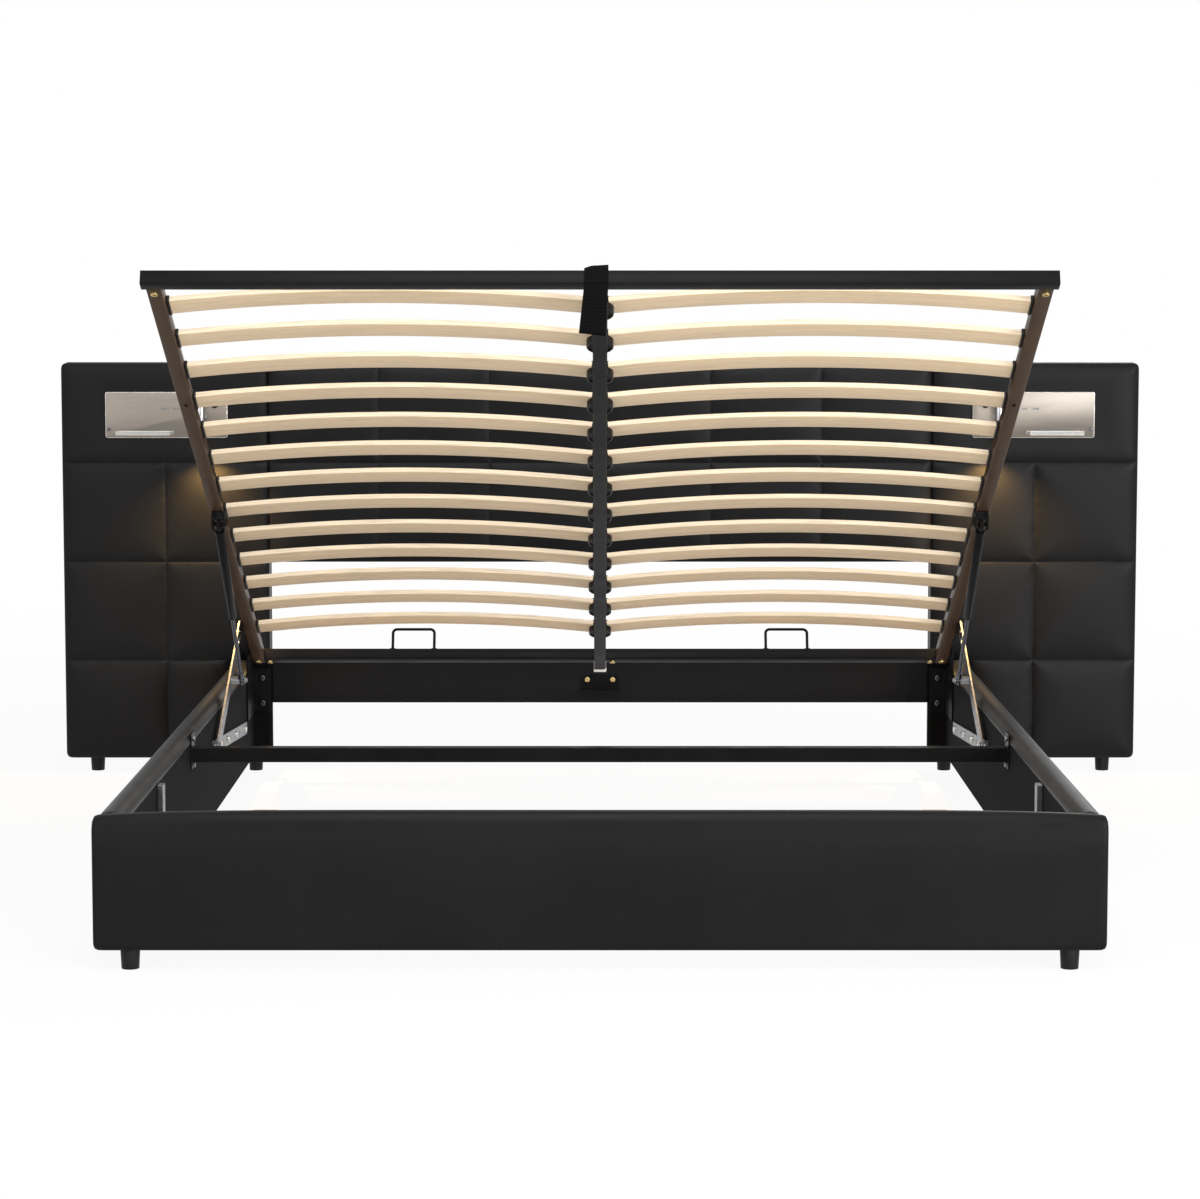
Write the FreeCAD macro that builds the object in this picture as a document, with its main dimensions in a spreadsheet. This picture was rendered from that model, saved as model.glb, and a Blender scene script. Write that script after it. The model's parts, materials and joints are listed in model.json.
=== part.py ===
import FreeCAD, Part
import math
import os
import re

# Upholstered storage bed with a lifting slatted platform, in millimetres.
# X runs across the bed, Y from the footboard to the headboard, Z up from the floor.
# The platform is drawn lying closed and is then turned up about its head hinge.

DIMS = [
    ("bed_length", 2116, "headboard face to footboard face"),
    ("bed_width", 1630, "outside of the side rails"),
    ("head_width", 2364, "headboard with both wings"),
    ("head_top", 906, "top of the headboard above the floor"),
    ("head_thick", 80, "headboard, padding to back plates"),
    ("pad_thick", 55, "headboard padding in front of the boards"),
    ("crown", 14, "height of each padded square above its seams"),
    ("back_plate", 3, "joining plates on the back"),
    ("wing_lap", 86, "wing inwards of the outside of the side rail"),
    ("row_height", 218, "one row of padded squares"),
    ("band_height", 220, "top band of the headboard"),
    ("foot_height", 32, "feet"),
    ("foot_radius", 16, "feet"),
    ("foot_outer", 64, "headboard foot in from the wing's outer edge"),
    ("foot_inner", 37, "headboard foot in from the wing's inner edge"),
    ("rail_thick", 45, "side rails and footboard"),
    ("rail_top", 250, "top of the rails above the floor"),
    ("board_thick", 20, "rail boards"),
    ("seat_z", 245, "underside of the closed platform frame"),
    ("tube", 25, "square tube of the frame"),
    ("wall", 1.5, "tube wall"),
    ("frame_gap", 17.5, "side tube to rail board"),
    ("foot_over", 7.5, "foot tube past each side tube"),
    ("lift_length", 1925, "frame, head end to foot end"),
    ("head_gap", 105, "headboard face to closed frame"),
    ("hinge_u", 80, "hinge axis in front of the headboard face"),
    ("hinge_z", 282, "hinge axis above the floor"),
    ("open_angle", 25.78, "platform when open"),
    ("slat_thick", 10, "slat"),
    ("slat_width", 50, "slat"),
    ("slat_rise", 20, "bow of a slat"),
    ("slat_first", 176.5, "head tube to first slat"),
    ("slat_pitch", 134.6, "slat to slat"),
    ("slat_low", 12, "slat ends above the frame underside"),
    ("cap_length", 10, "slat cap along the slat"),
    ("cap_wall", 2, "wall behind the end of a slat"),
    ("holder_reach", 13, "slat holder past the side of the centre beam"),
    ("beam_short", 15, "centre beam short of the back of the head tube"),
    ("hole_back", 509, "foot end of the frame to the hole in a side tube"),
    ("cross_u", 1120, "cross bar in front of the headboard face"),
    ("strip_thick", 4, "flat steel of the lift fittings"),
    ("arm_u", 761.4, "arm pivot in front of the headboard face"),
    ("arm_z", 168.5, "arm pivot above the floor"),
    ("arm_half", 14.5, "half the arm's depth"),
    ("slot_half", 8.5, "half the slot's width"),
    ("slot_from", 420.5, "arm pivot to near end of the slot"),
    ("slot_to", 471.5, "arm pivot to far end of the slot"),
    ("stud_c", 262.8, "hinge to stud along the frame"),
    ("stud_drop", 41.6, "stud below the hinge line"),
    ("stud_radius", 4, "stud and strut pins"),
    ("pin_radius", 5, "hinge and arm pins"),
    ("running", 0.05, "radial clearance of a running pin"),
    ("rod_pin", 256.2, "arm pivot to the strut's lower pin"),
    ("strut_c", 908.9, "hinge to the strut's upper pin along the frame"),
    ("strut_drop", 58, "strut's upper pin below the hinge line"),
    ("strut_in", 34, "rail board to the strut's middle"),
    ("strut_tube", 306, "upper pin to the open end of the strut tube"),
    ("strut_rod", 282, "lower pin to the inner end of the rod"),
    ("strut_radius", 9, "strut tube"),
    ("rod_radius", 4, "strut rod"),
    ("plate_shift", 2.5, "shelf plate inwards of the wing's middle"),
    ("plate_z", 795, "middle of a shelf plate above the floor"),
    ("plate_width", 274, "shelf plate"),
    ("plate_height", 106, "shelf plate"),
    ("plate_thick", 4, "shelf plate"),
    ("plate_set", 3, "depth of the seat cut in the padding"),
    ("button_radius", 7.3, "push button"),
    ("shelf_width", 136, "phone shelf"),
    ("shelf_depth", 72, "phone shelf"),
    ("lamp_radius", 9.5, "lamp body"),
    ("lamp_length", 82, "lamp body"),
    ("strap_width", 40, "pull strap"),
    ("strap_thick", 2.4, "pull strap"),
    ("strap_tail", 84, "free end of the pull strap"),
    ("strip_length", 622, "base strip from the arm pivot"),
    ("strip_slope", 4.4, "fall of the base strip towards the head"),
    ("head_rail_low", 150, "underside of the head rail above the floor"),
    ("stop_x", 405, "mattress stop from the bed's middle"),
    ("batten_u", 1630, "batten in front of the headboard face"),
    ("block_in", 224, "rest block in from the rail board"),
    ("block_depth", 64, "rest block in from the footboard"),
    ("clearance", 0.3, "space between pieces that are not fixed together"),
]
SLATS = 13
CENTRE_COLUMNS = 6

doc = FreeCAD.newDocument("storage_bed")
sheet = doc.addObject("Spreadsheet::Sheet", "Dims")
for row, (alias, number, note) in enumerate(DIMS, 1):
    sheet.set("A%d" % row, note)
    sheet.set("B%d" % row, str(number))
    sheet.setAlias("B%d" % row, alias)
doc.recompute()
ALIASES = set(alias for alias, number, note in DIMS)
NODES = []


def ex(text):
    """Put the sheet's name before every alias in an expression."""
    def full(match):
        word = match.group(0)
        return "Dims." + word if word in ALIASES else word
    return re.sub(r"[A-Za-z_]\w*", full, str(text))


def val(alias):
    return float(sheet.get(alias))


def bind(obj, prop, text):
    obj.setExpression(prop, ex(text))


def move(obj, x, y, z):
    bind(obj, "Placement.Base.x", x)
    bind(obj, "Placement.Base.y", y)
    bind(obj, "Placement.Base.z", z)


def turn(obj, angle):
    """Turn an object about X by an expression in degrees."""
    obj.Placement.Rotation = FreeCAD.Rotation(FreeCAD.Vector(1, 0, 0), 1)
    bind(obj, "Placement.Rotation.Angle", "(%s) * 1 deg" % angle)


def box(x0, x1, y0, y1, z0, z1):
    obj = doc.addObject("Part::Box", "Block")
    bind(obj, "Length", "(%s) - (%s)" % (x1, x0))
    bind(obj, "Width", "(%s) - (%s)" % (y1, y0))
    bind(obj, "Height", "(%s) - (%s)" % (z1, z0))
    move(obj, x0, y0, z0)
    return obj


def rod(axis, radius, start, end, a, b):
    """A cylinder along an axis; a and b are its centre in the two other axes, in order."""
    obj = doc.addObject("Part::Cylinder", "Round")
    bind(obj, "Radius", radius)
    bind(obj, "Height", "(%s) - (%s)" % (end, start))
    if axis == "x":
        obj.Placement.Rotation = FreeCAD.Rotation(FreeCAD.Vector(0, 1, 0), 90)
        move(obj, start, a, b)
    elif axis == "y":
        obj.Placement.Rotation = FreeCAD.Rotation(FreeCAD.Vector(1, 0, 0), -90)
        move(obj, a, start, b)
    else:
        move(obj, a, b, start)
    return obj


def fuse(*shapes):
    if len(shapes) == 1:
        return shapes[0]
    obj = doc.addObject("Part::MultiFuse", "Joined")
    obj.Shapes = list(shapes)
    return obj


def group(shapes):
    obj = doc.addObject("Part::Compound", "Group")
    obj.Links = list(shapes)
    return obj


def cut(base, *tools):
    obj = doc.addObject("Part::Cut", "Cut")
    obj.Base = base
    obj.Tool = tools[0] if len(tools) == 1 else group(tools)
    return obj


def mirror(source):
    obj = doc.addObject("Part::Mirroring", "Mirrored")
    obj.Source = source
    obj.Normal = FreeCAD.Vector(1, 0, 0)
    return obj


def node(obj, label):
    obj.Label = label
    NODES.append(obj)
    return obj


def pair(obj, label):
    """Name a left-hand piece and make its right-hand mirror image."""
    node(obj, label + "_left")
    node(mirror(obj), label + "_right")


def both(obj, label):
    """Name a left-hand piece and its right-hand mirror image as one group of small parts."""
    node(group([obj, mirror(obj)]), label)


# Datum positions, as expressions.
FACE = "((bed_length - head_thick) / 2)"
BACK = "((bed_length + head_thick) / 2)"
FRONT = "(-(bed_length + head_thick) / 2)"
CORE = "(%s + pad_thick)" % FACE
INNER = "(bed_width / 2 - rail_thick)"
CENTRE = "(bed_width / 2 - wing_lap)"
SIDE = "(%s - frame_gap)" % INNER
HINGE_Y = "(%s - hinge_u)" % FACE
HEAD_END = "(%s - head_gap)" % FACE
FOOT_END = "(%s - lift_length)" % HEAD_END
SEAT_TOP = "(seat_z + tube)"


def lifted(along, above):
    """Y and Z of a point of the open platform, given along the frame from the hinge and above it."""
    y = "(%s - (%s) * cos(open_angle) + (%s) * sin(open_angle))" % (HINGE_Y, along, above)
    z = "(hinge_z + (%s) * sin(open_angle) + (%s) * cos(open_angle))" % (along, above)
    return y, z


def tilt(obj):
    """Swing a piece that was drawn on the closed platform up about the hinge."""
    turn(obj, "-open_angle")
    bind(obj, "Placement.Base.x", "0")
    bind(obj, "Placement.Base.y", "%s * (1 - cos(open_angle)) - hinge_z * sin(open_angle)" % HINGE_Y)
    bind(obj, "Placement.Base.z", "hinge_z * (1 - cos(open_angle)) + %s * sin(open_angle)" % HINGE_Y)
    return obj


def tube(x0, x1, y0, y1, z0, z1, axis):
    """A square tube, open at both ends."""
    outer = box(x0, x1, y0, y1, z0, z1)
    if axis == "x":
        inner = box("(%s) - 1" % x0, "(%s) + 1" % x1, "(%s) + wall" % y0, "(%s) - wall" % y1,
                    "(%s) + wall" % z0, "(%s) - wall" % z1)
    else:
        inner = box("(%s) + wall" % x0, "(%s) - wall" % x1, "(%s) - 1" % y0, "(%s) + 1" % y1,
                    "(%s) + wall" % z0, "(%s) - wall" % z1)
    return cut(outer, inner)


def pillow(x0, x1, z0, z1):
    """One padded square: a crowned front on a straight-sided slab, with its face towards -Y."""
    seam = (val("bed_length") - val("head_thick")) / 2 + val("crown")
    depth = val("pad_thick") - val("crown")
    steps = 10
    grid = []
    for i in range(steps + 1):
        s = math.sin(math.pi * (i / steps - 0.5))
        line = []
        for j in range(steps + 1):
            t = math.sin(math.pi * (j / steps - 0.5))
            rise = val("crown") * (1 - abs(s) ** 5) * (1 - abs(t) ** 5)
            x = (x0 + x1) / 2 + s * (x1 - x0) / 2
            z = (z0 + z1) / 2 + t * (z1 - z0) / 2
            line.append(FreeCAD.Vector(x, seam - rise, z))
        grid.append(line)
    surface = Part.BSplineSurface()
    surface.interpolate(grid)
    front = surface.toShape()
    faces = [front]
    step = FreeCAD.Vector(0, depth, 0)
    far = []
    for edge in front.Edges:
        faces.append(edge.extrude(step))
        far.append(edge.translated(step))
    faces.append(Part.Face(Part.Wire(Part.__sortEdges__(far))))
    shell = Part.Shell(faces)
    shell.sewShape()
    solid = Part.makeSolid(shell)
    if solid.Volume < 0:
        solid.reverse()
    return solid


def pillows(tiles):
    """A panel of padded squares joined along their seams."""
    solids = [pillow(*tile) for tile in tiles]
    shape = solids[0].multiFuse(solids[1:])
    obj = doc.addObject("Part::Feature", "Padding")
    obj.Shape = shape
    return obj


def rounded_plate(x0, x1, y0, y1, z0, z1, radius):
    """A flat plate facing -Y with round corners."""
    parts = [
        box("(%s) + %s" % (x0, radius), "(%s) - %s" % (x1, radius), y0, y1, z0, z1),
        box(x0, x1, y0, y1, "(%s) + %s" % (z0, radius), "(%s) - %s" % (z1, radius)),
    ]
    for x in ("(%s) + %s" % (x0, radius), "(%s) - %s" % (x1, radius)):
        for z in ("(%s) + %s" % (z0, radius), "(%s) - %s" % (z1, radius)):
            parts.append(rod("y", radius, y0, y1, x, z))
    return fuse(*parts)


def rounded_block(x0, x1, y0, y1, z0, z1, radius):
    """A block with four round upright edges."""
    parts = [
        box("(%s) + %s" % (x0, radius), "(%s) - %s" % (x1, radius), y0, y1, z0, z1),
        box(x0, x1, "(%s) + %s" % (y0, radius), "(%s) - %s" % (y1, radius), z0, z1),
    ]
    for x in ("(%s) + %s" % (x0, radius), "(%s) - %s" % (x1, radius)):
        for y in ("(%s) + %s" % (y0, radius), "(%s) - %s" % (y1, radius)):
            parts.append(rod("z", radius, z0, z1, x, y))
    return fuse(*parts)


# Headboard boards: two wings down to the feet and a centre panel above the opening.
CENTRE_LOW = "(head_top - band_height - row_height)"
wing_board = box("-head_width / 2", "-%s" % CENTRE, CORE, "%s - back_plate" % BACK, "foot_height", "head_top")
pair(wing_board, "headboard_wing_board")
centre_board = box("-%s" % CENTRE, CENTRE, CORE, "%s - back_plate" % BACK, CENTRE_LOW, "head_top")
node(centre_board, "headboard_centre_board")

# Headboard padding: a top band and rows of padded squares.
outer_x = -val("head_width") / 2
inner_x = val("wing_lap") - val("bed_width") / 2
middle_x = (outer_x + inner_x) / 2
top = val("head_top")
band = top - val("band_height")
wing_tiles = [(outer_x, inner_x, band, top)]
rows = int(round((band - val("foot_height")) / val("row_height")))
pitch = (band - val("foot_height")) / rows
for k in range(rows):
    low = val("foot_height") + k * pitch
    wing_tiles.append((outer_x, middle_x, low, low + pitch))
    wing_tiles.append((middle_x, inner_x, low, low + pitch))
centre_tiles = []
column = -2 * inner_x / CENTRE_COLUMNS
for k in range(CENTRE_COLUMNS):
    left = inner_x + k * column
    centre_tiles.append((left, left + column, band, top))
    centre_tiles.append((left, left + column, band - val("row_height"), band))

PLATE_X = "(plate_shift - (head_width / 2 + %s) / 2)" % CENTRE
PLATE_L = "(%s - plate_width / 2)" % PLATE_X
PLATE_R = "(%s + plate_width / 2)" % PLATE_X
PLATE_B = "(plate_z - plate_height / 2)"
PLATE_T = "(plate_z + plate_height / 2)"
PLATE_BACK = "(%s + plate_set)" % FACE
PLATE_FACE = "(%s - plate_thick)" % PLATE_BACK
BUTTON_X = "(%s - 28)" % PLATE_R
BUTTON_Z = "(plate_z + 20)"
USB_X = "(%s + 12)" % PLATE_X
USB_Z = "(plate_z + 11)"

seat = box("%s - clearance" % PLATE_L, "%s + clearance" % PLATE_R, "%s - 20" % FACE, PLATE_BACK,
           "%s - clearance" % PLATE_B, "%s + clearance" % PLATE_T)
button_hole = rod("y", "button_radius + 3", PLATE_FACE, "%s + 22" % PLATE_BACK, BUTTON_X, BUTTON_Z)
usb_hole = box("%s - 24" % USB_X, "%s + 24" % USB_X, PLATE_FACE, "%s + 12" % PLATE_BACK,
               "%s - 6" % USB_Z, "%s + 6" % USB_Z)
rail_notch = box("-bed_width / 2 - clearance", "-%s + 1" % CENTRE, "%s - 20" % FACE, "%s + 1" % CORE,
                 "foot_height - 1", "rail_top + clearance")
pair(cut(pillows(wing_tiles), seat, button_hole, usb_hole, rail_notch), "headboard_wing_padding")
node(pillows(centre_tiles), "headboard_centre_padding")

# Steel plates across the joints on the back, each with four screws.
plates = []
screws = []
for side in (-1, 1):
    for z in ("head_top - 90", "%s + 90" % CENTRE_LOW):
        x = "%d * %s" % (side, CENTRE)
        plates.append(box("%s - 45" % x, "%s + 45" % x, "%s - back_plate" % BACK, "%s - 0.8" % BACK,
                          "%s - 22" % z, "%s + 22" % z))
        for dx in (-30, 30):
            screws.append(rod("y", 4, "%s - 0.8" % BACK, BACK, "%s + %d" % (x, dx), z))
node(group(plates), "headboard_joining_plates")
node(group(screws), "headboard_plate_screws")

# Feet under the wings and the footboard.
head_feet = []
for side in (-1, 1):
    for x in ("head_width / 2 - foot_outer", "%s + foot_inner" % CENTRE):
        head_feet.append(rod("z", "foot_radius", 0, "foot_height", "%d * (%s)" % (side, x), "%s - 4" % CORE))
node(group(head_feet), "headboard_feet")
front_feet = []
for side in (-1, 1):
    front_feet.append(rod("z", "foot_radius", 0, "foot_height", "%d * (bed_width / 2 - 58)" % side,
                          "%s + rail_thick - 22" % FRONT))
node(group(front_feet), "footboard_feet")

# Head rail between the wings with a middle bracket.
head_rail = box("-%s" % CENTRE, CENTRE, CORE, "%s + board_thick" % CORE, "head_rail_low", "rail_top + 5")
node(head_rail, "head_rail")
LEDGE = "(head_rail_low + 30)"
bracket = fuse(
    box("-42", "42", "%s - 3" % CORE, CORE, LEDGE, "%s + 33" % LEDGE),
    box("-42", "42", "%s - 48" % CORE, CORE, LEDGE, "%s + 3" % LEDGE),
)
node(bracket, "head_rail_bracket")
bracket_screws = [rod("y", 6, "%s - 8" % CORE, "%s - 3" % CORE, x, "%s + 22" % LEDGE) for x in ("-28", "28")]
node(group(bracket_screws), "head_rail_screws")

# Side rails and footboard: boards with padding outside and over the top.
ROLL = "(rail_top - rail_thick / 2)"
RAIL_FOOT = "(%s + rail_thick)" % FRONT
rail_board = box("-%s - board_thick" % INNER, "-%s" % INNER, RAIL_FOOT, CORE, "foot_height", ROLL)
pair(rail_board, "side_rail_board")
rail_face = box("-bed_width / 2", "-%s - board_thick" % INNER, RAIL_FOOT, CORE, "foot_height", ROLL)
rail_roll = cut(
    rod("y", "rail_thick / 2", RAIL_FOOT, CORE, "-bed_width / 2 + rail_thick / 2", ROLL),
    box("-bed_width / 2 - 1", "-%s + 1" % INNER, "%s - 1" % RAIL_FOOT, "%s + 1" % CORE, "foot_height", ROLL),
)
pair(fuse(rail_face, rail_roll), "side_rail_padding")
foot_board = box("-bed_width / 2", "bed_width / 2", "%s - board_thick" % RAIL_FOOT, RAIL_FOOT,
                 "foot_height", ROLL)
node(foot_board, "footboard_board")
foot_face = box("-bed_width / 2", "bed_width / 2", FRONT, "%s - board_thick" % RAIL_FOOT, "foot_height", ROLL)
foot_roll = cut(
    rod("x", "rail_thick / 2", "-bed_width / 2", "bed_width / 2", "%s + rail_thick / 2" % FRONT, ROLL),
    box("-bed_width / 2 - 1", "bed_width / 2 + 1", "%s - 1" % FRONT, "%s + 1" % RAIL_FOOT,
        "foot_height", ROLL),
)
node(fuse(foot_face, foot_roll), "footboard_padding")
battens = []
blocks = []
for side in (-1, 1):
    a = "%d * %s" % (side, INNER)
    b = "%d * (%s - 10)" % (side, INNER)
    low_x, high_x = (a, b) if side < 0 else (b, a)
    battens.append(box(low_x, high_x, "%s - batten_u" % FACE, "%s - batten_u + 30" % FACE,
                       "foot_height + 20", "rail_top - 24"))
    mid = "%d * (%s - block_in)" % (side, INNER)
    blocks.append(box("%s - 20" % mid, "%s + 20" % mid, RAIL_FOOT, "%s + block_depth" % RAIL_FOOT,
                      "seat_z - 70", "seat_z - clearance"))
node(group(battens), "rail_battens")
node(group(blocks), "platform_rest_blocks")

# Cross bar of steel angle under the closed platform, with an end plate on each rail board.
BEAM_LOW = "(seat_z - tube)"
CROSS_Y = "(%s - cross_u)" % FACE
CROSS_TOP = "(%s - clearance)" % BEAM_LOW
CROSS_X = "(%s - 3)" % INNER
cross_parts = [
    box("-%s" % CROSS_X, CROSS_X, "%s - 15" % CROSS_Y, "%s + 15" % CROSS_Y, "%s - 3" % CROSS_TOP, CROSS_TOP),
    box("-%s" % CROSS_X, CROSS_X, "%s - 15" % CROSS_Y, "%s - 12" % CROSS_Y, "%s - 27" % CROSS_TOP, CROSS_TOP),
]
cross_bolts = []
for side in (-1, 1):
    a = "%d * %s" % (side, INNER)
    b = "%d * (%s - 3)" % (side, INNER)
    c = "%d * (%s - 7)" % (side, INNER)
    end_x = (a, b) if side < 0 else (b, a)
    bolt_x = (b, c) if side < 0 else (c, b)
    cross_parts.append(box(end_x[0], end_x[1], "%s - 24" % CROSS_Y, "%s + 24" % CROSS_Y,
                           "%s - 40" % CROSS_TOP, "%s + 28" % CROSS_TOP))
    for dz in (-33, 16):
        cross_bolts.append(rod("x", 5.5, bolt_x[0], bolt_x[1], CROSS_Y, "%s + %d" % (CROSS_TOP, dz)))
node(fuse(*cross_parts), "cross_bar")
node(group(cross_bolts), "cross_bar_bolts")

# Shelf plates with their ports, switches, shelves and lamps. The left ones are drawn.
usb_cuts = []
usb_parts = []
for dx in (-13, 13):
    x = "%s + %d" % (USB_X, dx)
    usb_cuts.append(box("%s - 9.3" % x, "%s + 9.3" % x, "%s - 1" % PLATE_FACE, "%s + 1" % PLATE_BACK,
                        "%s - 4.8" % USB_Z, "%s + 4.8" % USB_Z))
    block = box("%s - 9" % x, "%s + 9" % x, "%s - 0.6" % PLATE_FACE, "%s + 10" % PLATE_BACK,
                "%s - 4.5" % USB_Z, "%s + 4.5" % USB_Z)
    mouth = box("%s - 6.5" % x, "%s + 6.5" % x, "%s - 2" % PLATE_FACE, "%s + 6" % PLATE_BACK,
                "%s - 2.6" % USB_Z, "%s + 2.6" % USB_Z)
    tongue = box("%s - 5.5" % x, "%s + 5.5" % x, PLATE_FACE, "%s + 6" % PLATE_BACK,
                 "%s - 0.2" % USB_Z, "%s + 1.6" % USB_Z)
    usb_parts.append(fuse(cut(block, mouth), tongue))
plate_hole = rod("y", "button_radius + 1.6", "%s - 1" % PLATE_FACE, "%s + 1" % PLATE_BACK, BUTTON_X, BUTTON_Z)
plate = rounded_plate(PLATE_L, PLATE_R, PLATE_FACE, PLATE_BACK, PLATE_B, PLATE_T, 12)
pair(cut(plate, plate_hole, *usb_cuts), "shelf_plate")
both(group(usb_parts), "usb_ports")
bezel = cut(
    fuse(
        rod("y", "button_radius + 3.4", "%s - 2" % PLATE_FACE, PLATE_FACE, BUTTON_X, BUTTON_Z),
        rod("y", "button_radius + 1.5", "%s - 2" % PLATE_FACE, "%s + 18" % PLATE_BACK, BUTTON_X, BUTTON_Z),
    ),
    rod("y", "button_radius + clearance", "%s - 3" % PLATE_FACE, "%s + 16" % PLATE_BACK, BUTTON_X, BUTTON_Z),
)
both(bezel, "switch_bezels")
button = fuse(
    rod("y", "button_radius", "%s - 3.6" % PLATE_FACE, "%s + 4" % PLATE_BACK, BUTTON_X, BUTTON_Z),
    rod("y", "3", "%s + 4" % PLATE_BACK, "%s + 13.6" % PLATE_BACK, BUTTON_X, BUTTON_Z),
)
pair(button, "switch_button")
SHELF_L = "(%s + 20)" % PLATE_L
SHELF_R = "(%s + shelf_width)" % SHELF_L
SHELF_Z = "(%s + 9)" % PLATE_B
shelf = fuse(
    box(SHELF_L, SHELF_R, "%s - shelf_depth" % PLATE_FACE, PLATE_FACE, SHELF_Z, "%s + 4" % SHELF_Z),
    box(SHELF_L, SHELF_R, "%s - 4" % PLATE_FACE, PLATE_FACE, SHELF_Z, "%s + 20" % SHELF_Z),
    box(SHELF_L, SHELF_R, "%s - shelf_depth" % PLATE_FACE, "%s - shelf_depth + 4" % PLATE_FACE,
        SHELF_Z, "%s + 17" % SHELF_Z),
)
both(shelf, "phone_shelves")
LAMP_X = "(%s - 57)" % PLATE_R
LAMP_Y = "(%s - lamp_radius - 13)" % PLATE_FACE
LAMP_LOW = "(%s - 5)" % PLATE_B
lamp = cut(
    fuse(
        rod("z", "lamp_radius", LAMP_LOW, "%s + lamp_length" % LAMP_LOW, LAMP_X, LAMP_Y),
        rod("y", 5, LAMP_Y, PLATE_FACE, LAMP_X, "%s + 52" % LAMP_LOW),
        rod("y", 11, "%s - 3" % PLATE_FACE, PLATE_FACE, LAMP_X, "%s + 52" % LAMP_LOW),
    ),
    rod("z", "lamp_radius - 1.5", "%s - 1" % LAMP_LOW, "%s + 5" % LAMP_LOW, LAMP_X, LAMP_Y),
)
both(lamp, "lamp_bodies")
lens = rod("z", "lamp_radius - 1.6", "%s + 0.5" % LAMP_LOW, "%s + 5" % LAMP_LOW, LAMP_X, LAMP_Y)
both(lens, "lamp_lenses")

# Hinge bracket on each rail: a flange bolted to the wing board, a cheek and the hinge pin.
CHEEK_OUT = "(-%s)" % INNER
CHEEK_IN = "(strip_thick - %s)" % INNER
hinge_bracket = fuse(
    box(CHEEK_OUT, CHEEK_IN, "%s - 26" % HINGE_Y, CORE, "rail_top - 120", "rail_top - 18"),
    box(CHEEK_OUT, CHEEK_IN, "%s - 26" % HINGE_Y, "%s - 1" % FACE, "rail_top - 24", "hinge_z + 18"),
    box(CHEEK_IN, "-%s + 36" % INNER, "%s - strip_thick" % CORE, CORE, "rail_top - 120", "rail_top - 22"),
    rod("x", "pin_radius", "-%s + 1" % INNER, "-%s + 4.5" % SIDE, HINGE_Y, "hinge_z"),
    rod("x", "pin_radius + 4", "-%s + 1" % INNER, "-%s - strip_thick - 1.5" % SIDE, HINGE_Y, "hinge_z"),
)
hinge_head = rod("x", "pin_radius + 4", "-%s + 0.5" % SIDE, "-%s + 4.5" % SIDE, HINGE_Y, "hinge_z")
pair(fuse(hinge_bracket, hinge_head), "hinge_bracket")
flange_bolts = []
for z in ("rail_top - 100", "rail_top - 44"):
    flange_bolts.append(rod("y", 6.5, "%s - strip_thick - 6" % CORE, "%s - strip_thick" % CORE,
                            "-%s + 20" % INNER, z))
both(group(flange_bolts), "hinge_bracket_bolts")

# Base strip on each rail, falling towards the head, with the arm's pivot pin.
ARM_Y = "(%s - arm_u)" % FACE
ARM_OUT = "(-%s + 8.5)" % INNER
ARM_IN = "(%s + strip_thick)" % ARM_OUT
strip_holes = []
for k in (1, 2, 3):
    strip_holes.append(rod("x", 4.5, "%s - 1" % CHEEK_OUT, "%s + 1" % CHEEK_IN,
                           "%d * strip_length / 4" % k, 0))
strip = cut(box(CHEEK_OUT, CHEEK_IN, -22, "strip_length", -13, 13), *strip_holes)
strip_pin = fuse(
    rod("x", "pin_radius", "%s + 1" % CHEEK_OUT, "%s + 4" % ARM_IN, 0, 0),
    rod("x", "pin_radius + 4", "%s + 1" % CHEEK_OUT, "%s - 0.5" % ARM_OUT, 0, 0),
    rod("x", "pin_radius + 4", "%s + 0.5" % ARM_IN, "%s + 4" % ARM_IN, 0, 0),
)
base_strip = fuse(strip, strip_pin)
turn(base_strip, "-strip_slope")
move(base_strip, 0, ARM_Y, "arm_z")
pair(base_strip, "base_strip")

# Slotted arm on each side, drawn along +Y from its pivot and then turned to the stud.
STUD_Y, STUD_Z = lifted("stud_c", "-stud_drop")
ARM_ANGLE = "(atan2(%s - arm_z; %s - %s) / (1 deg))" % (STUD_Z, STUD_Y, ARM_Y)
arm = cut(
    fuse(
        box(0, "strip_thick", 0, "slot_to", "-arm_half", "arm_half"),
        rod("x", "arm_half", 0, "strip_thick", 0, 0),
        rod("x", "arm_half", 0, "strip_thick", "slot_to", 0),
        rod("x", "stud_radius", "strip_thick / 2", "strut_in - 8.5 + 12", "rod_pin", 0),
        rod("x", "stud_radius + 4", "strip_thick / 2", "strut_in - 8.5 - 4", "rod_pin", 0),
        rod("x", "stud_radius + 3", "strut_in - 8.5 + 4", "strut_in - 8.5 + 8", "rod_pin", 0),
    ),
    box(-1, "strip_thick + 1", "slot_from", "slot_to", "-slot_half", "slot_half"),
    rod("x", "slot_half", -1, "strip_thick + 1", "slot_from", 0),
    rod("x", "slot_half", -1, "strip_thick + 1", "slot_to", 0),
    rod("x", "pin_radius + running", -1, "strip_thick + 1", 0, 0),
)
turn(arm, ARM_ANGLE)
move(arm, ARM_OUT, ARM_Y, "arm_z")
pair(arm, "support_arm")

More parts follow.
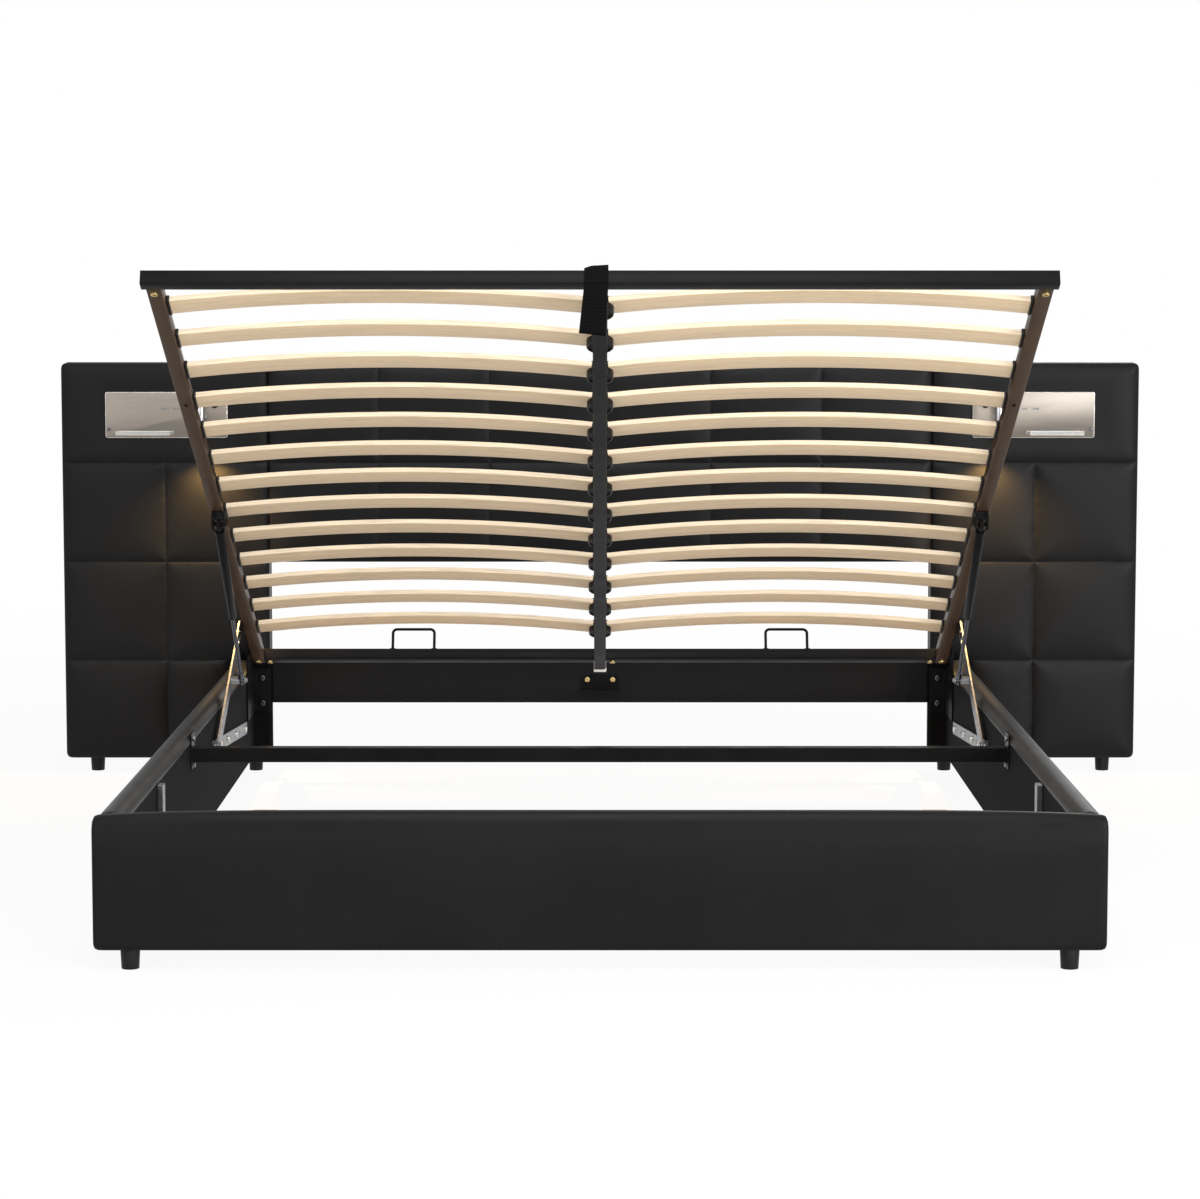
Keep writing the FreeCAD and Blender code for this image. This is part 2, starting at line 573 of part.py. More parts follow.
# Gas strut on each side: a rod pinned to the arm and a tube pinned to the platform.
ROD_Y = "(%s + rod_pin * cos(%s))" % (ARM_Y, ARM_ANGLE)
ROD_Z = "(arm_z + rod_pin * sin(%s))" % ARM_ANGLE
EYE_Y, EYE_Z = lifted("strut_c", "-strut_drop")
STRUT_ANGLE = "(atan2(%s - %s; %s - %s) / (1 deg))" % (ROD_Y, EYE_Y, EYE_Z, ROD_Z)
STRUT_X = "(-%s + strut_in)" % INNER
strut_rod = cut(
    fuse(
        rod("z", "rod_radius", 0, "strut_rod", 0, 0),
        rod("z", "rod_radius + 3", "stud_radius + 5", "stud_radius + 26", 0, 0),
        rod("x", "stud_radius + 6", "-3.5", "3.5", 0, 0),
    ),
    rod("x", "stud_radius + running", -8, 8, 0, 0),
)
turn(strut_rod, STRUT_ANGLE)
move(strut_rod, STRUT_X, ROD_Y, ROD_Z)
pair(strut_rod, "strut_rod")
strut_tube = cut(
    fuse(
        rod("z", "strut_radius", 20, "strut_tube", 0, 0),
        rod("z", "strut_radius - 3.5", 0, 22, 0, 0),
        rod("x", "stud_radius + 6", "-3.5", "3.5", 0, 0),
    ),
    rod("x", "stud_radius + running", -8, 8, 0, 0),
    rod("z", "strut_radius - 2", 30, "strut_tube - 8", 0, 0),
    rod("z", "rod_radius + 2.3", 40, "strut_tube + 1", 0, 0),
)
turn(strut_tube, "180 + %s" % STRUT_ANGLE)
move(strut_tube, STRUT_X, EYE_Y, EYE_Z)
pair(strut_tube, "strut_tube")

# Platform frame, drawn closed: side, head and foot tubes and a centre beam under them.
side_hole = box("-%s + tube / 2 - 3" % SIDE, "-%s + tube / 2 + 3" % SIDE, "%s + hole_back - 7" % FOOT_END,
                "%s + hole_back + 7" % FOOT_END, "seat_z - 1", "seat_z + 2 * wall")
side_tube = cut(
    tube("-%s" % SIDE, "-%s + tube" % SIDE, "%s + tube" % FOOT_END, HEAD_END, "seat_z", SEAT_TOP, "y"),
    side_hole,
)
pair(tilt(side_tube), "lift_side_tube")
head_tube = tube("-%s + tube" % SIDE, "%s - tube" % SIDE, "%s - tube" % HEAD_END, HEAD_END,
                 "seat_z", SEAT_TOP, "x")
node(tilt(head_tube), "lift_head_tube")
foot_tube = tube("-%s - foot_over" % SIDE, "%s + foot_over" % SIDE, FOOT_END, "%s + tube" % FOOT_END,
                 "seat_z", SEAT_TOP, "x")
node(tilt(foot_tube), "lift_foot_tube")
beam = tube("-tube / 2", "tube / 2", "%s + tube - 8" % FOOT_END, "%s - beam_short" % HEAD_END,
            BEAM_LOW, "seat_z", "y")
node(tilt(beam), "lift_centre_beam")

# Bowed slats: bands of a wide cylinder, one bay each side of the centre beam.
SLAT_IN = "(tube / 2 + cap_wall + clearance)"
SLAT_OUT = "(%s - tube - cap_wall - clearance)" % SIDE
SLAT_MID = "((%s + %s) / 2)" % (SLAT_IN, SLAT_OUT)
SLAT_HALF = "((%s - %s) / 2)" % (SLAT_OUT, SLAT_IN)
SLAT_R = "((%s * %s + slat_rise * slat_rise) / (2 * slat_rise))" % (SLAT_HALF, SLAT_HALF)
SLAT_END = "(seat_z + slat_low)"
SLAT_C = "(%s + slat_rise - %s)" % (SLAT_END, SLAT_R)
shell = cut(
    rod("y", "%s + slat_thick" % SLAT_R, FOOT_END, HEAD_END, "-%s" % SLAT_MID, SLAT_C),
    rod("y", SLAT_R, "%s - 1" % FOOT_END, "%s + 1" % HEAD_END, "-%s" % SLAT_MID, SLAT_C),
)
POCKET = ("%s - clearance" % SLAT_END, "%s + slat_thick + 1.6" % SLAT_END)
CAP_Z = ("%s - 3.5" % SLAT_END, "%s + slat_thick + 4.6" % SLAT_END)
HOLDER_X = "(tube / 2 + holder_reach)"
bands = []
caps = []
holders = []
for k in range(SLATS):
    mid = "(%s - tube / 2 - slat_first - %d * slat_pitch)" % (HEAD_END, k)
    low = "%s - slat_width / 2" % mid
    high = "%s + slat_width / 2" % mid
    fit = ("%s - clearance" % low, "%s + clearance" % high)
    bands.append(box("-%s" % SLAT_OUT, "-%s" % SLAT_IN, low, high, SLAT_END, "%s + 60" % SLAT_END))
    for side in (-1, 1):
        a = "%d * (%s - tube)" % (side, SIDE)
        b = "%d * (%s - tube - cap_length)" % (side, SIDE)
        c = "%d * (%s - tube - cap_wall)" % (side, SIDE)
        d = "%d * (%s - tube - cap_length - 1)" % (side, SIDE)
        outer = (a, b) if side < 0 else (b, a)
        inner = (c, d) if side < 0 else (d, c)
        caps.append(cut(
            box(outer[0], outer[1], "%s - 3" % low, "%s + 3" % high, CAP_Z[0], CAP_Z[1]),
            box(inner[0], inner[1], fit[0], fit[1], POCKET[0], POCKET[1]),
        ))
    body = fuse(
        rounded_block("-%s" % HOLDER_X, HOLDER_X, "%s - 5" % low, "%s + 5" % high, CAP_Z[0], CAP_Z[1], 12),
        box("6 - tube / 2", "tube / 2 - 6", "%s + 8" % low, "%s - 8" % high, "seat_z", "%s + 1" % CAP_Z[0]),
    )
    holders.append(cut(
        body,
        box("-%s - 1" % HOLDER_X, "-tube / 2 - cap_wall", fit[0], fit[1], POCKET[0], POCKET[1]),
        box("tube / 2 + cap_wall", "%s + 1" % HOLDER_X, fit[0], fit[1], POCKET[0], POCKET[1]),
    ))
slats = doc.addObject("Part::Common", "Slats")
slats.Base = shell
slats.Tool = group(bands)
pair(tilt(slats), "slats")
node(tilt(group(caps)), "slat_caps")
node(tilt(group(holders)), "slat_holders")

# Mattress stops: two wire loops standing on the head tube.
loops = []
STOP_Y = "(%s - tube / 2)" % HEAD_END
for side in (-1, 1):
    mid = "%d * stop_x" % side
    high = "%s + 48" % SEAT_TOP
    parts = [rod("x", 3, "%s - 36" % mid, "%s + 36" % mid, STOP_Y, high)]
    for dx in (-45, 45):
        x = "%s + %d" % (mid, dx)
        parts.append(rod("z", 3, SEAT_TOP, "%s - 9" % high, x, STOP_Y))
        bend = doc.addObject("Part::Torus", "Bend")
        bind(bend, "Radius1", "9")
        bind(bend, "Radius2", "3")
        bend.Angle3 = 90
        rotation = FreeCAD.Rotation(FreeCAD.Vector(1, 0, 0), 90)
        if dx < 0:
            rotation = FreeCAD.Rotation(FreeCAD.Vector(0, 0, 1), 180).multiply(rotation)
        bend.Placement.Rotation = rotation
        move(bend, "%s + %d" % (mid, 36 if dx > 0 else -36), STOP_Y, "%s - 9" % high)
        parts.append(bend)
        parts.append(rod("z", 7, SEAT_TOP, "%s + 3" % SEAT_TOP, x, STOP_Y))
    loops.append(fuse(*parts))
node(tilt(group(loops)), "mattress_stops")

# Pull strap: a band round the foot tube with a doubled tail that hangs when the bed is open.
STRAP = "(-6 - strap_width / 2)", "(-6 + strap_width / 2)"
band_out = box(STRAP[0], STRAP[1], "%s - strap_thick" % FOOT_END, "%s + tube + strap_thick" % FOOT_END,
               "seat_z + tube / 2", "%s + strap_thick" % SEAT_TOP)
band_front = box(STRAP[0], STRAP[1], "%s - strap_thick" % FOOT_END, FOOT_END, "seat_z", SEAT_TOP)
band_in = box("%s - 1" % STRAP[0], "%s + 1" % STRAP[1], FOOT_END, "%s + tube" % FOOT_END,
              "seat_z - 1", SEAT_TOP)
tail = box(STRAP[0], STRAP[1], 0, 0, 0, 0)
bind(tail, "Width", "2 * strap_thick")
bind(tail, "Height", "strap_tail")
turn(tail, "open_angle")
bind(tail, "Placement.Base.y", "%s - strap_thick + strap_tail * sin(open_angle)" % FOOT_END)
bind(tail, "Placement.Base.z", "seat_z + 0.5 - strap_tail * cos(open_angle)")
tail_trim = box("%s - 1" % STRAP[0], "%s + 1" % STRAP[1], FOOT_END, "%s + tube" % FOOT_END,
                "seat_z", SEAT_TOP)
strap = cut(fuse(cut(band_out, band_in), band_front, tail), tail_trim)
node(tilt(strap), "pull_strap")

# Bolts that join the frame tubes and the beam, on the underside.
bolts = []
for side in (-1, 1):
    for y in ("%s - tube / 2" % HEAD_END, "%s + tube * 1.5" % FOOT_END):
        bolts.append(rod("z", 6, "seat_z - 4", "seat_z", "%d * (%s - tube / 2)" % (side, SIDE), y))
    bolts.append(rod("z", 6, "seat_z - 4", "seat_z", "%d * (%s - tube - 12)" % (side, SIDE),
                     "%s - tube / 2" % HEAD_END))
bolts.append(rod("z", 6, "seat_z - 4", "seat_z", "27", "%s - tube / 2" % HEAD_END))
bolts.append(rod("z", 6, "%s - 4" % BEAM_LOW, BEAM_LOW, "0", "%s - beam_short - 20" % HEAD_END))
node(tilt(group(bolts)), "frame_bolts")

# Hinge plate on the outside of each side tube, with the stud that runs in the arm's slot.
STUD_V = "(%s - stud_c)" % HINGE_Y
STUD_H = "(hinge_z - stud_drop)"
PLATE_OUT = "(-%s - strip_thick)" % SIDE
hinge_plate = cut(
    fuse(
        box(PLATE_OUT, "-%s" % SIDE, "%s - 24" % STUD_V, HINGE_Y, "hinge_z - 14", "hinge_z + 11"),
        box(PLATE_OUT, "-%s" % SIDE, "%s - 24" % STUD_V, "%s - 16" % HEAD_END, "seat_z + 3", "hinge_z - 13"),
        rod("x", 14, PLATE_OUT, "-%s" % SIDE, HINGE_Y, "hinge_z"),
        box(PLATE_OUT, "-%s" % SIDE, "%s - 24" % STUD_V, "%s + 24" % STUD_V,
            "%s - 6" % STUD_H, "hinge_z - 13"),
        rod("x", 14, PLATE_OUT, "-%s" % SIDE, STUD_V, STUD_H),
        rod("x", "stud_radius", "-%s + 5.5" % INNER, "%s + 1" % PLATE_OUT, STUD_V, STUD_H),
        rod("x", 13, "-%s + 5.5" % INNER, "-%s + 8" % INNER, STUD_V, STUD_H),
    ),
    rod("x", "pin_radius + running", "%s - 1" % PLATE_OUT, "-%s + 1" % SIDE, HINGE_Y, "hinge_z"),
)
pair(tilt(hinge_plate), "lift_hinge_plate")

# Strut bracket under each side tube: two cheeks, a base and the upper pin.
EYE_V = "(%s - strut_c)" % HINGE_Y
EYE_H = "(hinge_z - strut_drop)"
parts = [
    box("%s - 13" % STRUT_X, "%s + 13" % STRUT_X, "%s - 18" % EYE_V, "%s + 26" % EYE_V,
        "seat_z - 3", "seat_z"),
    rod("x", "stud_radius", "%s - 15" % STRUT_X, "%s + 15" % STRUT_X, EYE_V, EYE_H),
]
for dx in (-13, 10):
    a = "%s + %d" % (STRUT_X, dx)
    b = "%s + %d" % (STRUT_X, dx + 3)
    parts.append(box(a, b, "%s - 18" % EYE_V, "%s + 26" % EYE_V, "%s" % EYE_H, "seat_z"))
    parts.append(rod("x", 13, a, b, EYE_V, EYE_H))
pair(tilt(fuse(*parts)), "strut_bracket")

doc.recompute()
for obj in doc.Objects:
    for state in obj.State:
        if state in ("Invalid", "Error"):
            raise RuntimeError("%s (%s) is %s" % (obj.Label, obj.Name, state))
os.makedirs("parts", exist_ok=True)
for obj in NODES:
    if obj.Shape.isNull() or not obj.Shape.isValid():
        raise RuntimeError("bad shape: " + obj.Label)
    obj.Shape.exportStep("parts/%s.step" % obj.Label)
print(len(NODES), "parts written")
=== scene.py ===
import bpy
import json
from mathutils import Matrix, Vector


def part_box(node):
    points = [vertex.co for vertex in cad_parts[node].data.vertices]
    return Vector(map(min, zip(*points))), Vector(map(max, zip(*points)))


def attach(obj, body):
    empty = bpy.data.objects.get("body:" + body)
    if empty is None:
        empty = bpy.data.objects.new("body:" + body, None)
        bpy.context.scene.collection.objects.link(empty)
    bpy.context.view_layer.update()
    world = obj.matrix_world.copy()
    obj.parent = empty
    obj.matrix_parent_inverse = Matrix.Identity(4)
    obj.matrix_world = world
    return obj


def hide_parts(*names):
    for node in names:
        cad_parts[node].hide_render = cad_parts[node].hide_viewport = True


bl_info = {
    "name": "Upholstered storage bed",
    "version": (1, 0, 0),
    "blender": (4, 5, 0),
    "location": "3D View > Sidebar > Bed",
    "description": "Dresses a lifting storage bed with padding, slats, fittings and a studio",
    "category": "Add Mesh",
}

import json
import math
import random

import bmesh
import bpy
from mathutils import Vector, noise

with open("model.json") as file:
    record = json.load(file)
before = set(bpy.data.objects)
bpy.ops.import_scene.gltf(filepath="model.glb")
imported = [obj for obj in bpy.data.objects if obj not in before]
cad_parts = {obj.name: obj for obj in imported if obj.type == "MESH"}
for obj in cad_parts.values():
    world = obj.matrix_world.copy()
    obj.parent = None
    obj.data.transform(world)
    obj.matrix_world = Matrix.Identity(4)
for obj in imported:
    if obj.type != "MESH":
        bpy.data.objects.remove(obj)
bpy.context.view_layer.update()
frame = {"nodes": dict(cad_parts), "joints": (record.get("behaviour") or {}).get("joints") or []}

# Datums read from the frame, in metres.
MM = 0.001
LIFT = next(j for j in frame["joints"] if j["name"] == "lift")
HINGE = Vector(LIFT["pos_m"])
OPEN = math.radians(-LIFT["range_deg"][0])
WING_LOW, WING_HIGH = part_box("headboard_wing_padding_left")
CENTRE_LOW, CENTRE_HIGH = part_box("headboard_centre_padding")
PLATE_LOW, PLATE_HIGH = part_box("shelf_plate_left")
RAIL_LOW, RAIL_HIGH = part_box("side_rail_padding_left")
FACE = WING_LOW.y


def hex_colour(code):
    """Linear red, green and blue of an sRGB hex colour."""
    shares = [int(code[k:k + 2], 16) / 255 for k in (1, 3, 5)]
    return tuple(c / 12.92 if c <= 0.04045 else ((c + 0.055) / 1.055) ** 2.4 for c in shares)


def length(name, text, millimetres):
    """A length that a user can change."""
    return bpy.props.FloatProperty(name=name, description=text, default=millimetres * MM, unit="LENGTH")


def colour(name, text, code):
    """A colour that a user can change."""
    return bpy.props.FloatVectorProperty(name=name, description=text, default=hex_colour(code),
                                         subtype="COLOR", size=3, min=0, max=1)


class BedSizes(bpy.types.PropertyGroup):
    """Sizes that a user would change."""
    crown: length("Crown", "Height of a padded square above its seams", 14)
    swell: length("Swell", "Furthest that the foam pushes the leather out", 5)
    seam_depth: length("Seam depth", "Pull of a seam into the foam", 8)
    seam_reach: length("Seam reach", "Distance over which a seam pulls the leather in", 6)
    wrap: length("Wrap", "Softness of the padding's outer edges", 8)
    corner: length("Corner", "Radius of the wings' outer corners", 13)
    roll: length("Roll", "Height of the round top of rails and footboard", 22.5)
    foot_rise: length("Footboard rise", "Rise of the footboard's top at its middle", 8.5)
    board: length("Board", "Board inside a rail", 20)
    seat_height: length("Seat height", "Underside of the closed platform", 245)
    head_end: length("Head end", "Head end of the closed frame from the middle of the bed", 913)
    frame_length: length("Frame length", "Platform frame from head to foot", 1925)
    tube: length("Tube", "Square tube of the platform", 25)
    tube_corner: length("Tube corner", "Corner radius of the square tube", 2.2)
    slat_first: length("First slat", "Middle of the head tube to the first slat", 176.5)
    slat_pitch: length("Slat pitch", "Slat to slat", 134.6)
    slat_width: length("Slat width", "Width of a slat", 50)
    slat_thick: length("Slat thickness", "Thickness of a slat", 10)
    slat_low: length("Slat ends", "Slat ends above the frame's underside", 12)
    slat_rise: length("Slat bow", "Rise of a slat at its middle", 20)
    slat_in: length("Slat inner end", "Inner end of a slat from the bed's middle", 14.8)
    slat_out: length("Slat outer end", "Outer end of a slat from the bed's middle", 725.2)
    strap_thick: length("Strap thickness", "Webbing of the pull strap", 2.2)
    strap_crest: length("Strap crest", "Loose fold of the pull strap over the foot tube", 13)
    strap_tail: length("Strap tail", "Free end of the pull strap", 82)


class BedColours(bpy.types.PropertyGroup):
    """Colours that a user would change."""
    leather: colour("Leather", "Coated fabric of the padding", "#0e0e0f")
    lining: colour("Lining", "Cloth on the boards", "#121213")
    paint: colour("Paint", "Powder coat on the steel", "#151516")
    # The centre beam has the frame's powder coat; this darker copy is painted shade under the platform.
    beam_paint_painted_shade: colour("Beam paint", "Powder coat on the centre beam", "#0b0b0c")
    # The side tubes' coat is black; its lighter brown tone is a painted reflection of a brown floor below them.
    tube_paint_with_painted_reflection: colour("Tube paint", "Powder coat on the side tubes, a little browner", "#3f3023")
    birch_face: colour("Birch face", "Veneer on the slats", "#cfb898")
    # The plies' own tone, lightened as a painted highlight on the lit slat edges.
    birch_edge_plies_and_highlight: colour("Birch edge", "Plies on the slats' edges", "#e0ccb0")
    pine: colour("Pine", "Battens and blocks", "#c9a377")
    plastic: colour("Plastic", "Feet, buttons and slat holders", "#0c0c0d")
    steel: colour("Stainless", "Brushed plates", "#857e76")
    # On the plates' bevelled rims this lighter colour is a painted highlight; the bright zinc of the beam band and
    # strip bolts uses it too.
    polished: colour("Polished edge", "Bevelled rims of the plates", "#d6d2cb")
    # This zinc is darker than bright plating: the dark reflections from inside the bed are painted into it as shade.
    zinc: colour("Zinc", "Bright plated fittings", "#808184")
    gold: colour("Yellow zinc", "Yellow plated bolts", "#c8b07a")
    rod: colour("Piston rod", "Nitrided rods of the gas struts", "#55565a")
    webbing: colour("Webbing", "Pull strap", "#0a0a0a")
    lamp: colour("Lamp", "Light of the reading lamps", "#ffc878")


def sizes():
    return bpy.context.scene.bed_sizes


def colours(name):
    """One of the bed's colours, opaque."""
    return tuple(getattr(bpy.context.scene.bed_colours, name)) + (1.0,)


# Modelling helpers.

def leave():
    """Go back to object mode."""
    if bpy.context.mode != "OBJECT":
        bpy.ops.object.mode_set(mode="OBJECT")


def only(obj):
    """Leave edit mode and make one object the whole selection."""
    leave()
    bpy.ops.object.select_all(action="DESELECT")
    obj.select_set(True)
    bpy.context.view_layer.objects.active = obj
    return obj


def start(name, kind, scale=(1, 1, 1), **settings):
    """Add a primitive by itself and put its place in its mesh."""
    leave()
    bpy.ops.object.select_all(action="DESELECT")
    getattr(bpy.ops.mesh, "primitive_%s_add" % kind)(**settings)
    obj = bpy.context.object
    obj.scale = scale
    obj.name = obj.data.name = name
    bpy.ops.object.transform_apply(location=True, rotation=True, scale=True)
    return obj


def block(name, low, high):
    """A box between two corners, to be shaped further."""
    middle = [(a + b) / 2 for a, b in zip(low, high)]
    size = [abs(b - a) for a, b in zip(low, high)]
    return start(name, "cube", size=1, location=middle, scale=size)


def pick(obj, kind, test):
    """Go into edit mode and select the faces, edges or vertices that pass a test of their place."""
    only(obj)
    bpy.ops.object.mode_set(mode="EDIT")
    bpy.ops.mesh.select_mode(type=kind)
    bpy.ops.mesh.select_all(action="DESELECT")
    mesh = bmesh.from_edit_mesh(obj.data)
    mesh.normal_update()
    for part in {"FACE": mesh.faces, "EDGE": mesh.edges, "VERT": mesh.verts}[kind]:
        if test(part):
            part.select_set(True)
    mesh.select_flush_mode()
    bmesh.update_edit_mesh(obj.data)


def mid(edge):
    """Middle of an edge."""
    return (edge.verts[0].co + edge.verts[1].co) / 2


def runs(edge, axis):
    """True for an edge that runs along an axis, 0 to 2."""
    way = edge.verts[1].co - edge.verts[0].co
    return abs(way[axis]) > 0.9 * way.length


def near(a, b):
    return abs(a - b) < 0.1 * MM


def applied(obj, kind, **settings):
    """Add a modifier with its settings and apply it."""
    only(obj)
    change = obj.modifiers.new(kind.title(), kind)
    for key, value in settings.items():
        setattr(change, key, value)
    bpy.ops.object.modifier_apply(modifier=change.name)
    return obj


def piercing(tool, obj):
    """Cut a tool out of a piece and throw the tool away."""
    applied(obj, "BOOLEAN", operation="DIFFERENCE", object=tool)
    bpy.data.objects.remove(tool)


def rounded(obj, width, segments=2, angle=30):
    """Bevel a piece's sharp edges."""
    return applied(obj, "BEVEL", width=width, segments=segments, limit_method="ANGLE",
                   angle_limit=math.radians(angle))


def worked(obj, operator, **settings):
    """Run an edit-mode operator on the whole of a piece."""
    only(obj)
    bpy.ops.object.mode_set(mode="EDIT")
    bpy.ops.mesh.select_all(action="SELECT")
    operator(**settings)
    leave()
    return obj


def swing(obj):
    """Turn a piece that was drawn on the closed platform up about the hinge."""
    return worked(obj, bpy.ops.transform.rotate, value=OPEN, orient_axis="X", center_override=HINGE)


def outward(obj):
    """Turn all faces of a piece outwards."""
    return worked(obj, bpy.ops.mesh.normals_make_consistent, inside=False)


def extrude(step):
    """Draw the selected faces or edges out by a step."""
    bpy.ops.mesh.extrude_region_move(TRANSFORM_OT_translate={"value": step})


def merge(distance):
    """Merge the points that lie this close together in the piece that is in edit mode."""
    bpy.ops.mesh.select_all(action="SELECT")
    bpy.ops.mesh.remove_doubles(threshold=distance)


def joined(made, name):
    """Join pieces as one and name it."""
    only(made[0])
    for piece in made:
        piece.select_set(True)
    if len(made) > 1:
        bpy.ops.object.join()
    whole = bpy.context.object
    whole.name = whole.data.name = name
    return whole


def copies(obj, name, places):
    """Copies of a small piece, each turned so that its +Z points along a direction, joined as one."""
    made = []
    for point, way in places:
        twin = obj.copy()
        twin.data = obj.data.copy()
        bpy.context.scene.collection.objects.link(twin)
        twin.rotation_mode = "QUATERNION"
        twin.rotation_quaternion = Vector(way).to_track_quat("Z", "Y")
        twin.location = point
        made.append(twin)
    whole = joined(made, name)
    bpy.ops.object.transform_apply(location=True, rotation=True, scale=True)
    bpy.data.objects.remove(obj)
    return whole


def solids(node):
    """Lowest and highest corners of each separate solid of a CAD node."""
    mesh = bmesh.new()
    mesh.from_mesh(frame["nodes"][node].data)
    bmesh.ops.remove_doubles(mesh, verts=mesh.verts, dist=0.01 * MM)
    left = set(mesh.verts)
    found = []
    while left:
        grow = [left.pop()]
        body = list(grow)
        while grow:
            for edge in grow.pop().link_edges:
                for vert in edge.verts:
                    if vert in left:
                        left.remove(vert)
                        grow.append(vert)
                        body.append(vert)
        low = Vector([min(v.co[k] for v in body) for k in range(3)])
        high = Vector([max(v.co[k] for v in body) for k in range(3)])
        found.append((low, high))
    mesh.free()
    return sorted(found, key=lambda pair: tuple(round(x, 4) for x in pair[0]))


def finished(obj, material, body, slot, *nodes, angle=40):
    """Shade a piece, give it its material and seat it in the frame."""
    only(obj)
    bpy.ops.object.shade_smooth_by_angle(angle=math.radians(angle))
    obj.data.materials.clear()
    obj.data.materials.append(finish(material))
    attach(obj, body)
    if nodes:
        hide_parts(*nodes)
    return obj


def inflate(obj, pressure, cap):
    """Swell a pad as cloth over foam: its held points stay, and the whole swell is scaled to the cap."""
    before = [v.co.copy() for v in obj.data.vertices]
    only(obj)
    cloth = obj.modifiers.new("Cloth", "CLOTH")
    cloth.settings.quality = 5
    cloth.settings.mass = 0.3
    cloth.settings.tension_stiffness = 25
    cloth.settings.compression_stiffness = 25
    cloth.settings.shear_stiffness = 15
    cloth.settings.bending_stiffness = 2
    cloth.settings.use_pressure = True
    cloth.settings.uniform_pressure_force = pressure
    cloth.settings.vertex_group_mass = "held"
    cloth.settings.effector_weights.gravity = 0
    cloth.collision_settings.use_collision = False
    for step in range(1, 21):
        bpy.context.scene.frame_set(step)
    bpy.ops.object.modifier_apply(modifier=cloth.name)
    bpy.context.scene.frame_set(1)
    furthest = max((vert.co - old).length for vert, old in zip(obj.data.vertices, before))
    if furthest < 0.1 * MM:
        raise RuntimeError("the cloth of %s did not move" % obj.name)
    for vert, old in zip(obj.data.vertices, before):
        vert.co = old + (vert.co - old) * min(1.0, cap / furthest)
    return obj


# Materials.

def add(tree, kind, links=None, stops=(), **settings):
    """Add a shader node with its settings and colour stops, and set or link its inputs."""
    made = tree.nodes.new("ShaderNode" + kind)
    for key, value in settings.items():
        setattr(made, key, value)
    for key, value in (links or {}).items():
        if isinstance(value, bpy.types.Node):
            value = value.outputs[0]
        if isinstance(value, bpy.types.NodeSocket):
            tree.links.new(value, made.inputs[key])
        else:
            made.inputs[key].default_value = value
    for k, (place, tint) in enumerate(stops):
        if k == len(made.color_ramp.elements):
            made.color_ramp.elements.new(1.0)
        made.color_ramp.elements[k].position = place
        made.color_ramp.elements[k].color = tint
    return made


def begin(name, sockets):
    """A new material with plain numbers and colours set on its shader."""
    material = bpy.data.materials.new(name)
    material.use_nodes = True
    tree = material.node_tree
    for key, value in sockets.items():
        tree.nodes["Principled BSDF"].inputs[key].default_value = value
    return material, tree


def surfaced(material, tint=None, rough=None, bump=None):
    """Link the nodes that vary a material's colour, roughness and relief to its shader."""
    tree = material.node_tree
    for key, node in (("Base Color", tint), ("Roughness", rough), ("Normal", bump)):
        if node:
            tree.links.new(node.outputs[0], tree.nodes["Principled BSDF"].inputs[key])
    return material


def per(millimetres):
    """Texture scale whose features are this size."""
    return 1 / (millimetres * MM)


def shade(tint, factor):
    """A colour made darker or lighter."""
    return tuple(min(1.0, c * factor) for c in tint[:3]) + (1.0,)


def leatherette(quilted):
    """Embossed polyurethane on knitted cloth: a pebbled skin with a soft, even sheen.

    On the quilted panels it puckers where the attribute pull says that a seam draws it in.
    """
    base = colours("leather")
    material, tree = begin("quilted black leatherette" if quilted else "embossed black leatherette",
                           {"IOR": 1.48, "Specular IOR Level": 0.15 if quilted else 0.12,
                            "Sheen Weight": 0.02 if quilted else 0.08, "Sheen Roughness": 0.3})
    place = add(tree, "TexCoord").outputs["Object"]
    # Pebbles of 1.2 mm, drawn at 3 mm so that they show.
    pebble = add(tree, "TexVoronoi", {"Vector": place, "Scale": per(3)}, feature="SMOOTH_F1")
    crease = add(tree, "TexNoise", {"Vector": place, "Scale": per(9), "Detail": 5.0})
    cloud = add(tree, "TexNoise", {"Vector": place, "Scale": per(130), "Detail": 3.0})
    height = add(tree, "Math", {0: pebble, 1: crease}, operation="ADD")
    bump = add(tree, "Bump", {"Height": height, "Strength": 0.18, "Distance": 0.5 * MM})
    if quilted:
        pull = add(tree, "Attribute", attribute_name="pull").outputs["Fac"]
        pucker = add(tree, "TexNoise", {"Vector": place, "Scale": per(22), "Detail": 2.0})
        folds = add(tree, "Math", {0: pucker, 1: pull}, operation="MULTIPLY")
        bump = add(tree, "Bump", {"Height": folds, "Strength": 0.5, "Distance": 4 * MM, "Normal": bump})
    tint = add(tree, "ValToRGB", {"Fac": cloud}, [(0.3, shade(base, 0.86)), (0.7, shade(base, 1.14))])
    rough = add(tree, "MapRange", {"Value": cloud, "From Min": 0.3, "From Max": 0.7, "To Min": 0.42, "To Max": 0.5})
    return surfaced(material, tint, rough, bump)


def lining():
    """Black spun-bonded lining on board: matt, with a dimpled bond pattern."""
    base = colours("lining")
    material, tree = begin("spun-bonded lining", {"Roughness": 0.85, "Specular IOR Level": 0.05})
    place = add(tree, "TexCoord").outputs["Object"]
    dimple = add(tree, "TexVoronoi", {"Vector": place, "Scale": per(4), "Randomness": 0.25})
    fibre = add(tree, "TexNoise", {"Vector": place, "Scale": per(25), "Detail": 6.0})
    tint = add(tree, "ValToRGB", {"Fac": fibre}, [(0.3, shade(base, 0.8)), (0.7, shade(base, 1.25))])
    bump = add(tree, "Bump", {"Height": dimple, "Strength": 0.3, "Distance": 0.4 * MM})
    return surfaced(material, tint, bump=bump)


